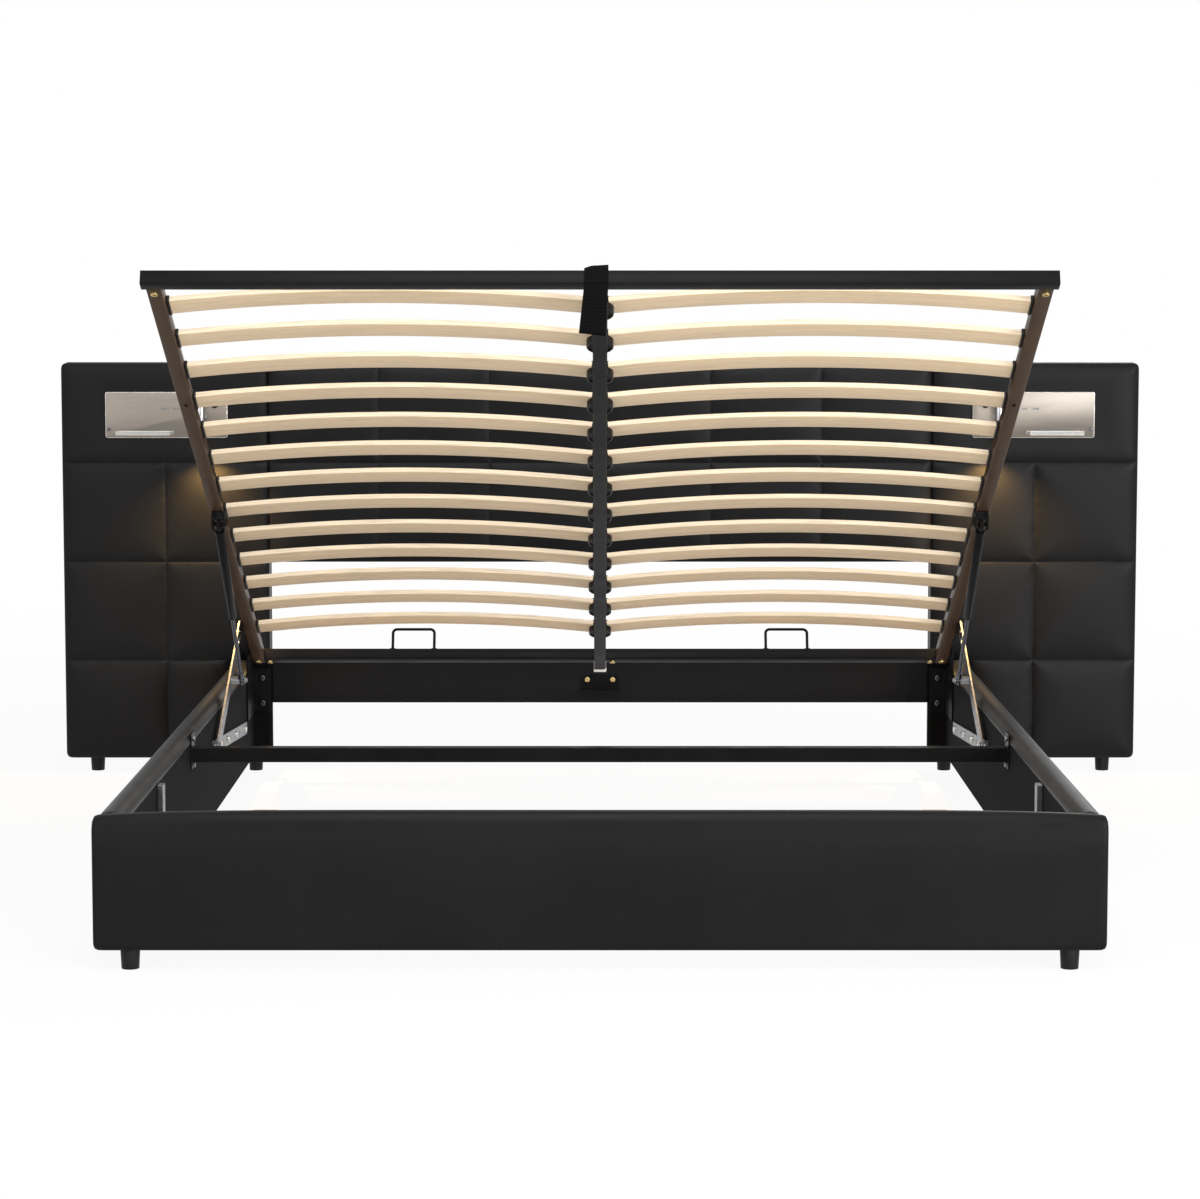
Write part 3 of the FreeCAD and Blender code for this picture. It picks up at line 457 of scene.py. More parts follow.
def powder_coat(name, tint_name):
    """Steel tube and plate in black powder coat: satin, with a fine orange peel."""
    base = colours(tint_name)
    material, tree = begin(name, {"IOR": 1.5, "Specular IOR Level": 0.04})
    place = add(tree, "TexCoord").outputs["Object"]
    # Orange peel of 0.8 mm, drawn at 2 mm so that it shows.
    peel = add(tree, "TexNoise", {"Vector": place, "Scale": per(2), "Detail": 2.0})
    cloud = add(tree, "TexNoise", {"Vector": place, "Scale": per(60), "Detail": 4.0})
    tint = add(tree, "ValToRGB", {"Fac": cloud}, [(0.3, shade(base, 0.85)), (0.7, shade(base, 1.15))])
    rough = add(tree, "MapRange", {"Value": cloud, "From Min": 0.3, "From Max": 0.7, "To Min": 0.28, "To Max": 0.4})
    bump = add(tree, "Bump", {"Height": peel, "Strength": 0.12, "Distance": 0.3 * MM})
    return surfaced(material, tint, rough, bump)


def plated(name, tint_name, low, high):
    """Plated steel: bright metal with a cloudy crystal pattern in its gloss."""
    base = colours(tint_name)
    material, tree = begin(name, {"Metallic": 1.0})
    place = add(tree, "TexCoord").outputs["Object"]
    crystal = add(tree, "TexVoronoi", {"Vector": place, "Scale": per(7)}).outputs["Color"]
    cloud = add(tree, "TexNoise", {"Vector": place, "Scale": per(15), "Detail": 5.0})
    tint = add(tree, "ValToRGB", {"Fac": cloud}, [(0.3, shade(base, 0.75)), (0.7, shade(base, 1.1))])
    return surfaced(material, tint, add(tree, "MapRange", {"Value": crystal, "To Min": low, "To Max": high}))


def brushed_stainless():
    """Stainless sheet brushed along its length: streaked gloss across X."""
    base = colours("steel")
    material, tree = begin("brushed stainless sheet", {"Metallic": 1.0, "Anisotropic": 0.6})
    place = add(tree, "TexCoord").outputs["Object"]
    # Grit lines of 0.3 mm, drawn at 1 mm so that they show.
    lines = add(tree, "Mapping", {"Vector": place, "Scale": (per(90), per(1), per(1))})
    grit = add(tree, "TexNoise", {"Vector": lines, "Scale": 1.0, "Detail": 3.0})
    tint = add(tree, "ValToRGB", {"Fac": grit}, [(0.25, shade(base, 0.86)), (0.75, shade(base, 1.1))])
    rough = add(tree, "MapRange", {"Value": grit, "From Min": 0.25, "From Max": 0.75, "To Min": 0.3, "To Max": 0.46})
    bump = add(tree, "Bump", {"Height": grit, "Strength": 0.1, "Distance": 0.1 * MM})
    return surfaced(material, tint, rough, bump)


def chrome():
    """Polished chrome on brass: a mirror with the faintest haze."""
    material, tree = begin("polished chrome", {"Metallic": 1.0, "Base Color": hex_colour("#bfbfc1") + (1.0,)})
    place = add(tree, "TexCoord").outputs["Object"]
    haze = add(tree, "TexNoise", {"Vector": place, "Scale": per(6), "Detail": 4.0})
    return surfaced(material, rough=add(tree, "MapRange", {"Value": haze, "To Min": 0.06, "To Max": 0.16}))


def birch():
    """Bent birch plywood: fine straight grain on the faces and stacked plies on the edges, whose colour is lighter than
    the faces' as a painted highlight.
    """
    face, side = colours("birch_face"), colours("birch_edge_plies_and_highlight")
    material, tree = begin("birch plywood", {"Specular IOR Level": 0.35})
    place = add(tree, "Attribute", attribute_name="grain").outputs["Vector"]
    edge = add(tree, "Attribute", attribute_name="edge").outputs["Fac"]
    streak = add(tree, "Mapping", {"Vector": place, "Scale": (per(160), per(5), per(5))})
    fine = add(tree, "Mapping", {"Vector": place, "Scale": (per(30), per(1.2), per(1.2))})
    plies = add(tree, "Mapping", {"Vector": place, "Scale": (per(90), 0.0, per(1.6))})
    figure = add(tree, "TexNoise", {"Vector": streak, "Scale": 1.0, "Detail": 5.0, "Distortion": 0.6})
    pore = add(tree, "TexNoise", {"Vector": fine, "Scale": 1.0, "Detail": 2.0})
    layer = add(tree, "TexNoise", {"Vector": plies, "Scale": 1.0, "Detail": 1.0})
    figured = add(tree, "ValToRGB", {"Fac": figure}, [(0.28, shade(face, 0.8)), (0.5, face), (0.72, shade(face, 1.12))])
    pored = add(tree, "ValToRGB", {"Fac": pore}, [(0.35, shade(face, 0.72)), (0.6, shade(face, 1.08))])
    # The ply stripes are real; their lighter base colour is a painted highlight.
    plied = add(tree, "ValToRGB", {"Fac": layer}, [(0.36, shade(side, 0.8)), (0.5, side), (0.66, shade(side, 1.1))])
    veneer = add(tree, "Mix", {"Factor": 0.35, "A": figured, "B": pored}, data_type="RGBA").outputs[2]
    both = add(tree, "Mix", {"Factor": edge, "A": veneer, "B": plied}, data_type="RGBA").outputs[2]
    tree.links.new(both, tree.nodes["Principled BSDF"].inputs["Base Color"])
    rough = add(tree, "MapRange", {"Value": figure, "To Min": 0.4, "To Max": 0.6})
    bump = add(tree, "Bump", {"Height": pore, "Strength": 0.12, "Distance": 0.2 * MM})
    return surfaced(material, rough=rough, bump=bump)


def sawn_pine():
    """Sawn pine block: straight grain with darker late-wood lines, left raw."""
    base = colours("pine")
    material, tree = begin("sawn pine", {"Roughness": 0.75, "Specular IOR Level": 0.25})
    place = add(tree, "TexCoord").outputs["Object"]
    rings = add(tree, "Mapping", {"Vector": place, "Scale": (per(6), per(6), per(120))})
    grain = add(tree, "TexNoise", {"Vector": rings, "Scale": 1.0, "Detail": 4.0, "Distortion": 0.8})
    tint = add(tree, "ValToRGB", {"Fac": grain}, [(0.35, shade(base, 0.7)), (0.55, base), (0.7, shade(base, 1.12))])
    bump = add(tree, "Bump", {"Height": grain, "Strength": 0.3, "Distance": 0.4 * MM})
    return surfaced(material, tint, bump=bump)


def moulded(name, low, high):
    """Moulded black plastic with the fine spark-eroded texture of its tool."""
    base = colours("plastic")
    material, tree = begin(name, {"IOR": 1.49, "Specular IOR Level": 0.22})
    place = add(tree, "TexCoord").outputs["Object"]
    spark = add(tree, "TexNoise", {"Vector": place, "Scale": per(1.5), "Detail": 2.0})
    cloud = add(tree, "TexNoise", {"Vector": place, "Scale": per(20), "Detail": 3.0})
    tint = add(tree, "ValToRGB", {"Fac": cloud}, [(0.3, shade(base, 0.85)), (0.7, shade(base, 1.2))])
    rough = add(tree, "MapRange", {"Value": cloud, "To Min": low, "To Max": high})
    bump = add(tree, "Bump", {"Height": spark, "Strength": 0.2, "Distance": 0.2 * MM})
    return surfaced(material, tint, rough, bump)


def clear_acrylic(name, cover):
    """Cast acrylic sheet: faces that are seen through, and edges made whiter and less clear as a painted highlight."""
    material, tree = begin(name, {"Base Color": hex_colour("#f4f4f0") + (1.0,), "Alpha": cover, "IOR": 1.49})
    place = add(tree, "TexCoord").outputs["Object"]
    haze = add(tree, "TexNoise", {"Vector": place, "Scale": per(25), "Detail": 4.0})
    return surfaced(material, rough=add(tree, "MapRange", {"Value": haze, "To Min": 0.03, "To Max": 0.1}))


def lamp_lens():
    """Opal lamp lens, lit: frosted, and it glows all over."""
    material, tree = begin("lit opal lens", {
        "Base Color": hex_colour("#fff7e7") + (1.0,), "Roughness": 0.4, "Emission Color": colours("lamp"),
        "Emission Strength": 9.0})
    place = add(tree, "TexCoord").outputs["Object"]
    frost = add(tree, "TexNoise", {"Vector": place, "Scale": per(2), "Detail": 2.0})
    return surfaced(material, bump=add(tree, "Bump", {"Height": frost, "Strength": 0.2, "Distance": 0.2 * MM}))


def woven_webbing():
    """Polyester webbing: a ribbed weave across the strap."""
    base = colours("webbing")
    material, tree = begin("woven polyester webbing",
                           {"Roughness": 0.78, "Specular IOR Level": 0.04, "Sheen Weight": 0.01})
    place = add(tree, "Attribute", attribute_name="weave").outputs["Vector"]
    # Ribs of 1.6 mm, drawn at 3 mm so that they show.
    rib = add(tree, "TexWave", {"Vector": place, "Scale": per(3) / 6.28, "Distortion": 0.3}, bands_direction="Y")
    yarn = add(tree, "TexWave", {"Vector": place, "Scale": per(2.4) / 6.28, "Distortion": 0.2}, bands_direction="X")
    height = add(tree, "Math", {0: rib.outputs["Fac"], 1: yarn.outputs["Fac"]}, operation="MULTIPLY")
    # The colour follows the weave's relief, darker in the grooves and lighter on the ribs: painted shade and highlight.
    tint = add(tree, "ValToRGB", {"Fac": height}, [(0.0, shade(base, 0.6)), (0.6, shade(base, 1.5))])
    bump = add(tree, "Bump", {"Height": height, "Strength": 0.5, "Distance": 0.5 * MM})
    return surfaced(material, tint, bump=bump)


FINISHES = {
    "leather": lambda: leatherette(False),
    "quilted": lambda: leatherette(True),
    "lining": lining,
    "paint": lambda: powder_coat("black powder-coated steel", "paint"),
    # Centre beam: the same coat darkened as painted shade.
    "beam paint with painted shade": lambda: powder_coat("deep black powder-coated steel", "beam_paint_painted_shade"),
    # Side tubes: black coat with a painted brown reflection of a floor.
    "tube paint with painted reflection": lambda: powder_coat("brown-black powder-coated steel", "tube_paint_with_painted_reflection"),
    # Darkened zinc: painted shade for the dark reflections inside the bed.
    "zinc": lambda: plated("bright zinc-plated steel", "zinc", 0.28, 0.46),
    "bright zinc": lambda: plated("bright chromated zinc", "polished", 0.2, 0.34),
    "gold": lambda: plated("yellow zinc-plated steel", "gold", 0.22, 0.4),
    "rod": lambda: plated("nitrided piston steel", "rod", 0.18, 0.3),
    "stainless": brushed_stainless,
    "chrome": chrome,
    "birch": birch,
    "pine": sawn_pine,
    "feet": lambda: moulded("moulded ABS", 0.4, 0.6),
    "holders": lambda: moulded("moulded polypropylene", 0.32, 0.5),
    "acrylic": lambda: clear_acrylic("clear cast acrylic", 0.06),
    "acrylic edge with painted highlight": lambda: clear_acrylic("sawn edge of cast acrylic", 0.4),
    # Plate rims: stainless made lighter as a painted highlight.
    "polished edge": lambda: plated("polished stainless edge", "polished", 0.2, 0.3),
    "lens": lamp_lens,
    "webbing": woven_webbing,
}
MADE = {}


def finish(name):
    """A finish's material, made when it is first asked for."""
    if name not in MADE:
        MADE[name] = FINISHES[name]()
    return MADE[name]


# Padding.

SEWN = 0.98  # Pull past which a point of the leather counts as sewn down.
DRAWN = 0.76  # Share of the crown that is drawn before the foam swells it.


def spread(edges, cells, wanted):
    """Grid lines that crowd towards the seams, with the nearest ones moved to the places wanted."""
    crowd = 0.85
    lines = []
    for a, b in zip(edges, edges[1:]):
        for k in range(cells):
            t = k / cells
            lines.append(a + (b - a) * (t - crowd * math.sin(2 * math.pi * t) / (2 * math.pi)))
    lines.append(edges[-1])
    for place in wanted:
        free = [k for k in range(len(lines)) if k % cells]
        lines[min(free, key=lambda k: abs(lines[k] - place))] = place
    return lines


def round_corners(pad, low, high, radius):
    """Round a wing's two outer corners by drawing the square of grid at each one in to a quarter circle."""
    outer = low.x if low.x < 0 else high.x
    for vert in pad.data.vertices:
        for z in (low.z, high.z):
            hub = (outer - math.copysign(radius, outer), z + (radius if z == low.z else -radius))
            dx, dz = vert.co.x - hub[0], vert.co.z - hub[1]
            if dx * (outer - hub[0]) > 0 and dz * (z - hub[1]) > 0:
                vert.co.x = hub[0] + dx * math.sqrt(1 - (dz / radius) ** 2 / 2)
                vert.co.z = hub[1] + dz * math.sqrt(1 - (dx / radius) ** 2 / 2)


def quilt(name, node, across, up, cells, joined, drops, dents):
    """A panel of padded squares: a grid pinned along its seams, swollen, and closed behind.

    across and up are the seams' places, cells the grid's faces between two seams, joined the row
    that has no upright seam, drops the parts left out and dents what something presses flat.
    """
    low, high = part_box(node)
    size = sizes()
    inside = drops + [d[:4] for d in dents]
    lines = (spread(across, cells[0], [x for r in inside for x in r[:2] if across[0] < x < across[-1]]),
             spread(up, cells[1], [z for r in inside for z in r[2:] if up[0] < z < up[-1]]))
    pad = start(name, "grid", x_subdivisions=len(lines[0]) - 1, y_subdivisions=len(lines[1]) - 1, size=1,
                location=((low.x + high.x) / 2, low.y + size.crown, (low.z + high.z) / 2),
                rotation=(math.pi / 2, 0, 0), scale=(high.x - low.x, high.z - low.z, 1))
    for vert in pad.data.vertices:
        for axis, line in ((0, lines[0]), (2, lines[1])):
            share = (vert.co[axis] - low[axis]) / (high[axis] - low[axis])
            vert.co[axis] = line[round(share * (len(line) - 1))]
    for x0, x1, z0, z1 in drops:
        pick(pad, "FACE", lambda f: x0 < f.calc_center_median().x < x1 and z0 < f.calc_center_median().z < z1)
        bpy.ops.mesh.delete(type="FACE")
    leave()

    def depths(place):
        """How far the leather is pulled in by the seams and by the outer edge, each 0 to 1."""
        x, z = place.x, place.z
        plain = joined is not None and up[joined] < z < up[joined + 1] + MM
        stitched = [abs(z - u) for u in up[1:-1]] + [abs(x - a) for a in across[1:-1] if not plain]
        edge = min(x - across[0], across[-1] - x, z - up[0], up[-1] - z)
        for x0, x1, z0, z1 in drops:
            edge = min(edge, max(x0 - x, z - z1) if x1 > across[-1] else max(x - x1, z - z1))
        return math.exp(-min(stitched) / size.seam_reach), math.exp(-max(edge, 0) / size.wrap)
    held = pad.vertex_groups.new(name="held")
    crown = pad.vertex_groups.new(name="crown")
    for vert in pad.data.vertices:
        seam, edge = depths(vert.co)
        weight = DRAWN * (1 - size.seam_depth / size.crown * seam) * (1 - edge)
        if seam > SEWN or edge > SEWN:
            held.add([vert.index], 1.0, "REPLACE")
        for x0, x1, z0, z1, depth in dents:
            if x0 - MM < vert.co.x < x1 + MM and z0 - MM < vert.co.z < z1 + MM:
                weight = 1 - depth / size.crown
                held.add([vert.index], 1.0, "REPLACE")
        crown.add([vert.index], weight, "REPLACE")
    applied(pad, "DISPLACE", direction="Y", strength=-size.crown, mid_level=0, vertex_group="crown")
    if joined is not None:
        round_corners(pad, low, high, size.corner)
    pick(pad, "EDGE", lambda e: e.is_boundary)
    lip = 4 * MM
    extrude((0, lip, 0))
    extrude((0, high.y - low.y - size.crown - lip - 0.2 * MM, 0))
    leave()
    inflate(pad, pressure=4.0, cap=size.swell)
    pick(pad, "EDGE", lambda e: not e.is_boundary and all(depths(v.co)[0] > SEWN for v in e.verts)
         and mid(e).y < low.y + size.crown - MM)
    bpy.ops.transform.edge_crease(value=0.9)
    applied(pad, "SUBSURF", levels=1, render_levels=1)
    pick(pad, "EDGE", lambda e: e.is_boundary)
    bpy.ops.mesh.edge_face_add()
    outward(pad)
    pull = pad.data.attributes.new("pull", "FLOAT", "POINT")
    for vert in pad.data.vertices:
        pull.data[vert.index].value = depths(vert.co)[0] ** 0.4
    finished(pad, "quilted", "base", "black_leather", node, angle=60)
    return pad


class BED_OT_headboard_pads(bpy.types.Operator):
    """Padded squares on the wings and the centre of the headboard"""
    bl_idname = "bed.headboard_pads"
    bl_label = "Headboard padding"

    def execute(self, context):
        rows = [WING_LOW.z + (WING_HIGH.z - WING_LOW.z) * k / 4 for k in range(5)]
        columns = [WING_LOW.x, (WING_LOW.x + WING_HIGH.x) / 2, WING_HIGH.x]
        # Each plate presses the leather flat with a rim round it, and a side rail ends in the wing's lower corner.
        rim, seat, play, beyond = 3 * MM, 1.5 * MM, 1 * MM, 1
        dent = (PLATE_LOW.x - rim, PLATE_HIGH.x + rim, PLATE_LOW.z - rim, PLATE_HIGH.z + rim,
                PLATE_HIGH.y - FACE + seat)
        notch = (RAIL_LOW.x - play, WING_HIGH.x + beyond, -beyond, RAIL_HIGH.z + play)

        def turned(r):
            return (-r[1], -r[0]) + r[2:]
        quilt("headboard_wing_pad_left", "headboard_wing_padding_left", columns, rows, (18, 17), 3, [notch], [dent])
        quilt("headboard_wing_pad_right", "headboard_wing_padding_right", [-x for x in reversed(columns)], rows,
              (18, 17), 3, [turned(notch)], [turned(dent)])
        columns = [CENTRE_LOW.x + (CENTRE_HIGH.x - CENTRE_LOW.x) * k / 6 for k in range(7)]
        rows = [CENTRE_LOW.z, (CENTRE_LOW.z + CENTRE_HIGH.z) / 2, CENTRE_HIGH.z]
        quilt("headboard_centre_pad", "headboard_centre_padding", columns, rows, (17, 17), None, [], [])
        return {"FINISHED"}


def soften_front(pad, low, high, top, rise):
    """Raise the footboard's round top towards its middle and lean its front edge back in a wide curve."""
    size = sizes()
    fall = 45 * MM
    for vert in pad.data.vertices:
        share = abs(2 * vert.co.x - low.x - high.x) / (high.x - low.x)
        lift = rise * (1 - share ** 6)
        vert.co.z += lift * max(0.0, vert.co.z - top) / size.roll
        up = (vert.co.z - (high.z + lift - fall)) / fall
        if up > 0 and vert.co.y < (low.y + high.y) / 2:
            lean = (high.y - low.y) / 2 * (1 - math.sqrt(max(0.0, 1 - up * up)))
            vert.co.y = max(vert.co.y, low.y + lean)


def rolled_pad(name, node, axis, out, rise):
    """A padded rail: a slab outside its board with a round top that folds over the board.

    axis is the way the rail runs, out the outward direction on the other level axis and rise how far
    the top stands up at the middle.
    """
    low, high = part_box(node)
    size = sizes()
    other = 1 - axis
    outer = low[other] if out < 0 else high[other]
    inner = high[other] if out < 0 else low[other]
    shoulder = inner + out * size.board
    top = high.z - size.roll
    a, b = low.copy(), high.copy()
    a[other], b[other] = min(outer, shoulder), max(outer, shoulder)
    b.z = top
    pad = block(name, a, b)
    pick(pad, "FACE", lambda f: f.normal.z > 0.9)
    extrude((0, 0, size.roll))
    pick(pad, "FACE", lambda f: -out * f.normal[other] > 0.9 and f.calc_center_median().z > top)
    step = [0, 0, 0]
    step[other] = inner - shoulder
    extrude(step)
    merge(0.01 * MM)
    pick(pad, "EDGE", lambda e: runs(e, axis) and near(mid(e).z, high.z)
         and (near(mid(e)[other], outer) or near(mid(e)[other], inner)))
    bpy.ops.mesh.bevel(offset=size.roll * 0.96, segments=7, affect="EDGES")
    pick(pad, "EDGE", lambda e: near(mid(e)[other], outer) and (runs(e, 2) or near(mid(e).z, low.z)))
    hem, cell = 7 * MM, 16 * MM
    bpy.ops.mesh.bevel(offset=hem, segments=3, affect="EDGES")
    pick(pad, "EDGE", lambda e: runs(e, axis) and e.calc_length() > 0.5)
    bpy.ops.mesh.subdivide(number_cuts=int((high[axis] - low[axis]) / cell))
    pick(pad, "EDGE", lambda e: runs(e, 2) and e.calc_length() > 0.1)
    bpy.ops.mesh.subdivide(number_cuts=11)
    merge(0.2 * MM)
    leave()
    held = pad.vertex_groups.new(name="held")
    for vert in pad.data.vertices:
        behind = out * (vert.co[other] - shoulder) < 0.5 * MM and vert.co.z < top + MM
        end = vert.co[axis] < low[axis] + MM or vert.co[axis] > high[axis] - MM
        if behind or end or vert.co.z < low.z + 2 * MM:
            held.add([vert.index], 1.0, "REPLACE")
    inflate(pad, pressure=0.3, cap=3.5 * MM)
    if rise:
        soften_front(pad, low, high, top, rise)
    outward(pad)
    applied(pad, "SUBSURF", levels=1, render_levels=1)
    finished(pad, "leather", "base", "black_leather", node, angle=70)
    return pad


class BED_OT_rail_pads(bpy.types.Operator):
    """Padding of the side rails and the footboard"""
    bl_idname = "bed.rail_pads"
    bl_label = "Rail padding"

    def execute(self, context):
        rolled_pad("side_rail_pad_left", "side_rail_padding_left", 1, -1, 0)
        rolled_pad("side_rail_pad_right", "side_rail_padding_right", 1, 1, 0)
        rolled_pad("footboard_pad", "footboard_padding", 0, -1, sizes().foot_rise)
        return {"FINISHED"}


# Platform.

SLAT_COUNT = 13
BEAM_SHORT = 15 * MM  # The centre beam ends this far before the head end.


def slat_rows():
    """Places of the slats along the closed platform."""
    size = sizes()
    first = size.head_end - size.tube / 2 - size.slat_first
    return [first - k * size.slat_pitch for k in range(SLAT_COUNT)]


class BED_OT_slats(bpy.types.Operator):
    """Bowed slats, one bay each side of the centre beam"""
    bl_idname = "bed.slats"
    bl_label = "Slats"

    def execute(self, context):
        size = sizes()
        half = (size.slat_out - size.slat_in) / 2
        radius = (half * half + size.slat_rise ** 2) / (2 * size.slat_rise)
        sweep = math.asin(half / radius)
        end = size.seat_height + size.slat_low
        hub = end + size.slat_rise - radius
        chance = random.Random(7)
        for side, word in ((-1, "left"), (1, "right")):
            centre = side * (size.slat_in + half)
            made = []
            for y in slat_rows():
                slat = start("slat", "plane", size=1, rotation=(0, math.pi / 2, 0),
                             location=(centre, y, hub + radius + size.slat_thick / 2),
                             scale=(size.slat_thick, size.slat_width, 1))
                pick(slat, "VERT", lambda v: True)
                bpy.ops.mesh.bevel(offset=1.6 * MM, segments=2, affect="VERTICES")
                bpy.ops.mesh.select_all(action="SELECT")
                bpy.ops.mesh.delete(type="ONLY_FACE")
                bpy.ops.mesh.select_all(action="SELECT")
                bpy.ops.transform.rotate(value=-sweep, orient_axis="Y", center_override=(centre, y, hub))
                bpy.ops.mesh.spin(steps=22, angle=2 * sweep, center=(centre, y, hub), axis=(0, 1, 0))
                pick(slat, "EDGE", lambda e: e.is_boundary)
                bpy.ops.mesh.edge_face_add()
                outward(slat)
                wide = max(abs(v.co.x - centre) for v in slat.data.vertices)
                if wide > half + 5 * MM:
                    raise RuntimeError("a slat was bent the wrong way")
                grain = slat.data.attributes.new("grain", "FLOAT_VECTOR", "POINT")
                edge = slat.data.attributes.new("edge", "FLOAT", "FACE")
                shift = [chance.uniform(0, 9), chance.uniform(0, 9), chance.uniform(0, 9)]
                for vert in slat.data.vertices:
                    rise = math.hypot(vert.co.x - centre, vert.co.z - hub) - radius
                    grain.data[vert.index].vector = (vert.co.x + shift[0], vert.co.y + shift[1], rise + shift[2])
                for face in slat.data.polygons:
                    edge.data[face.index].value = float(max(abs(face.normal.x), abs(face.normal.y)) > 0.6)
                made.append(slat)
            bay = swing(joined(made, "birch_slats_" + word))
            finished(bay, "birch", "platform", "birch", "slats_" + word, angle=35)
        return {"FINISHED"}


class BED_OT_frame_tubes(bpy.types.Operator):
    """Square tubes of the platform, with plugged ends"""
    bl_idname = "bed.frame_tubes"
    bl_label = "Frame tubes"

    def execute(self, context):
        size = sizes()
        low, high = size.seat_height, size.seat_height + size.tube
        foot = size.head_end - size.frame_length
        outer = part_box("lift_side_tube_right")[1].x
        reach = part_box("lift_foot_tube")[1].x
        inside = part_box("lift_head_tube")[1].x
        drawn = {
            "lift_side_tube_left": ((-outer, foot + size.tube, low), (size.tube - outer, size.head_end, high), 1),
            "lift_side_tube_right": ((outer - size.tube, foot + size.tube, low), (outer, size.head_end, high), 1),
            "lift_head_tube": ((-inside, size.head_end - size.tube, low), (inside, size.head_end, high), 0),
            "lift_foot_tube": ((-reach, foot, low), (reach, foot + size.tube, high), 0),
            "lift_centre_beam": ((-size.tube / 2, foot + size.tube - 8 * MM, low - size.tube),
                                 (size.tube / 2, size.head_end - BEAM_SHORT, low), 1),
        }
        for node, (a, b, axis) in drawn.items():
            tube = block(node.replace("lift_", "welded_"), a, b)
            pick(tube, "EDGE", lambda e: runs(e, axis))
            bpy.ops.mesh.bevel(offset=size.tube_corner, segments=3, affect="EDGES")
            pick(tube, "FACE", lambda f: abs(f.normal[axis]) > 0.9)
            bpy.ops.mesh.inset(thickness=1.5 * MM, use_individual=True)
            bpy.ops.mesh.extrude_faces_move(TRANSFORM_OT_shrink_fatten={"value": -1.2 * MM})
            leave()
            if "side" in node:
                middle, drilled = (a[0] + b[0]) / 2, foot + 502 * MM
                piercing(block("hole", (middle - 3 * MM, drilled, low - 1 * MM),
                               (middle + 3 * MM, drilled + 14 * MM, low + 4 * MM)), tube)
            swing(tube)
            # The centre beam's darker coat is painted shade.
            # The side tubes' browner coat is a painted reflection of a brown floor.
            paint = "tube paint with painted reflection" if "side" in node else "beam paint with painted shade" if "beam" in node else "paint"
            finished(tube, paint, "platform", "black_steel", node, angle=30)
        return {"FINISHED"}


class BED_OT_beam_band(bpy.types.Operator):
    """Bright band folded round the head end of the centre beam"""
    bl_idname = "bed.beam_band"
    bl_label = "Beam band"

    def execute(self, context):
        size = sizes()
        sheet = 0.8 * MM
        half, low = size.tube / 2 + sheet, size.seat_height - size.tube - sheet
        end = size.head_end - BEAM_SHORT
        band = block("centre_beam_end_band", (-half, end - 14 * MM, low),
                     (half, end + sheet, size.seat_height - 6 * MM))
        pick(band, "FACE", lambda f: f.normal.z > 0.9)
        bpy.ops.mesh.inset(thickness=0.7 * MM)
        leave()
        rounded(band, 0.6 * MM, 2)
        finished(swing(band), "bright zinc", "platform", "zinc_steel", angle=30)
        return {"FINISHED"}


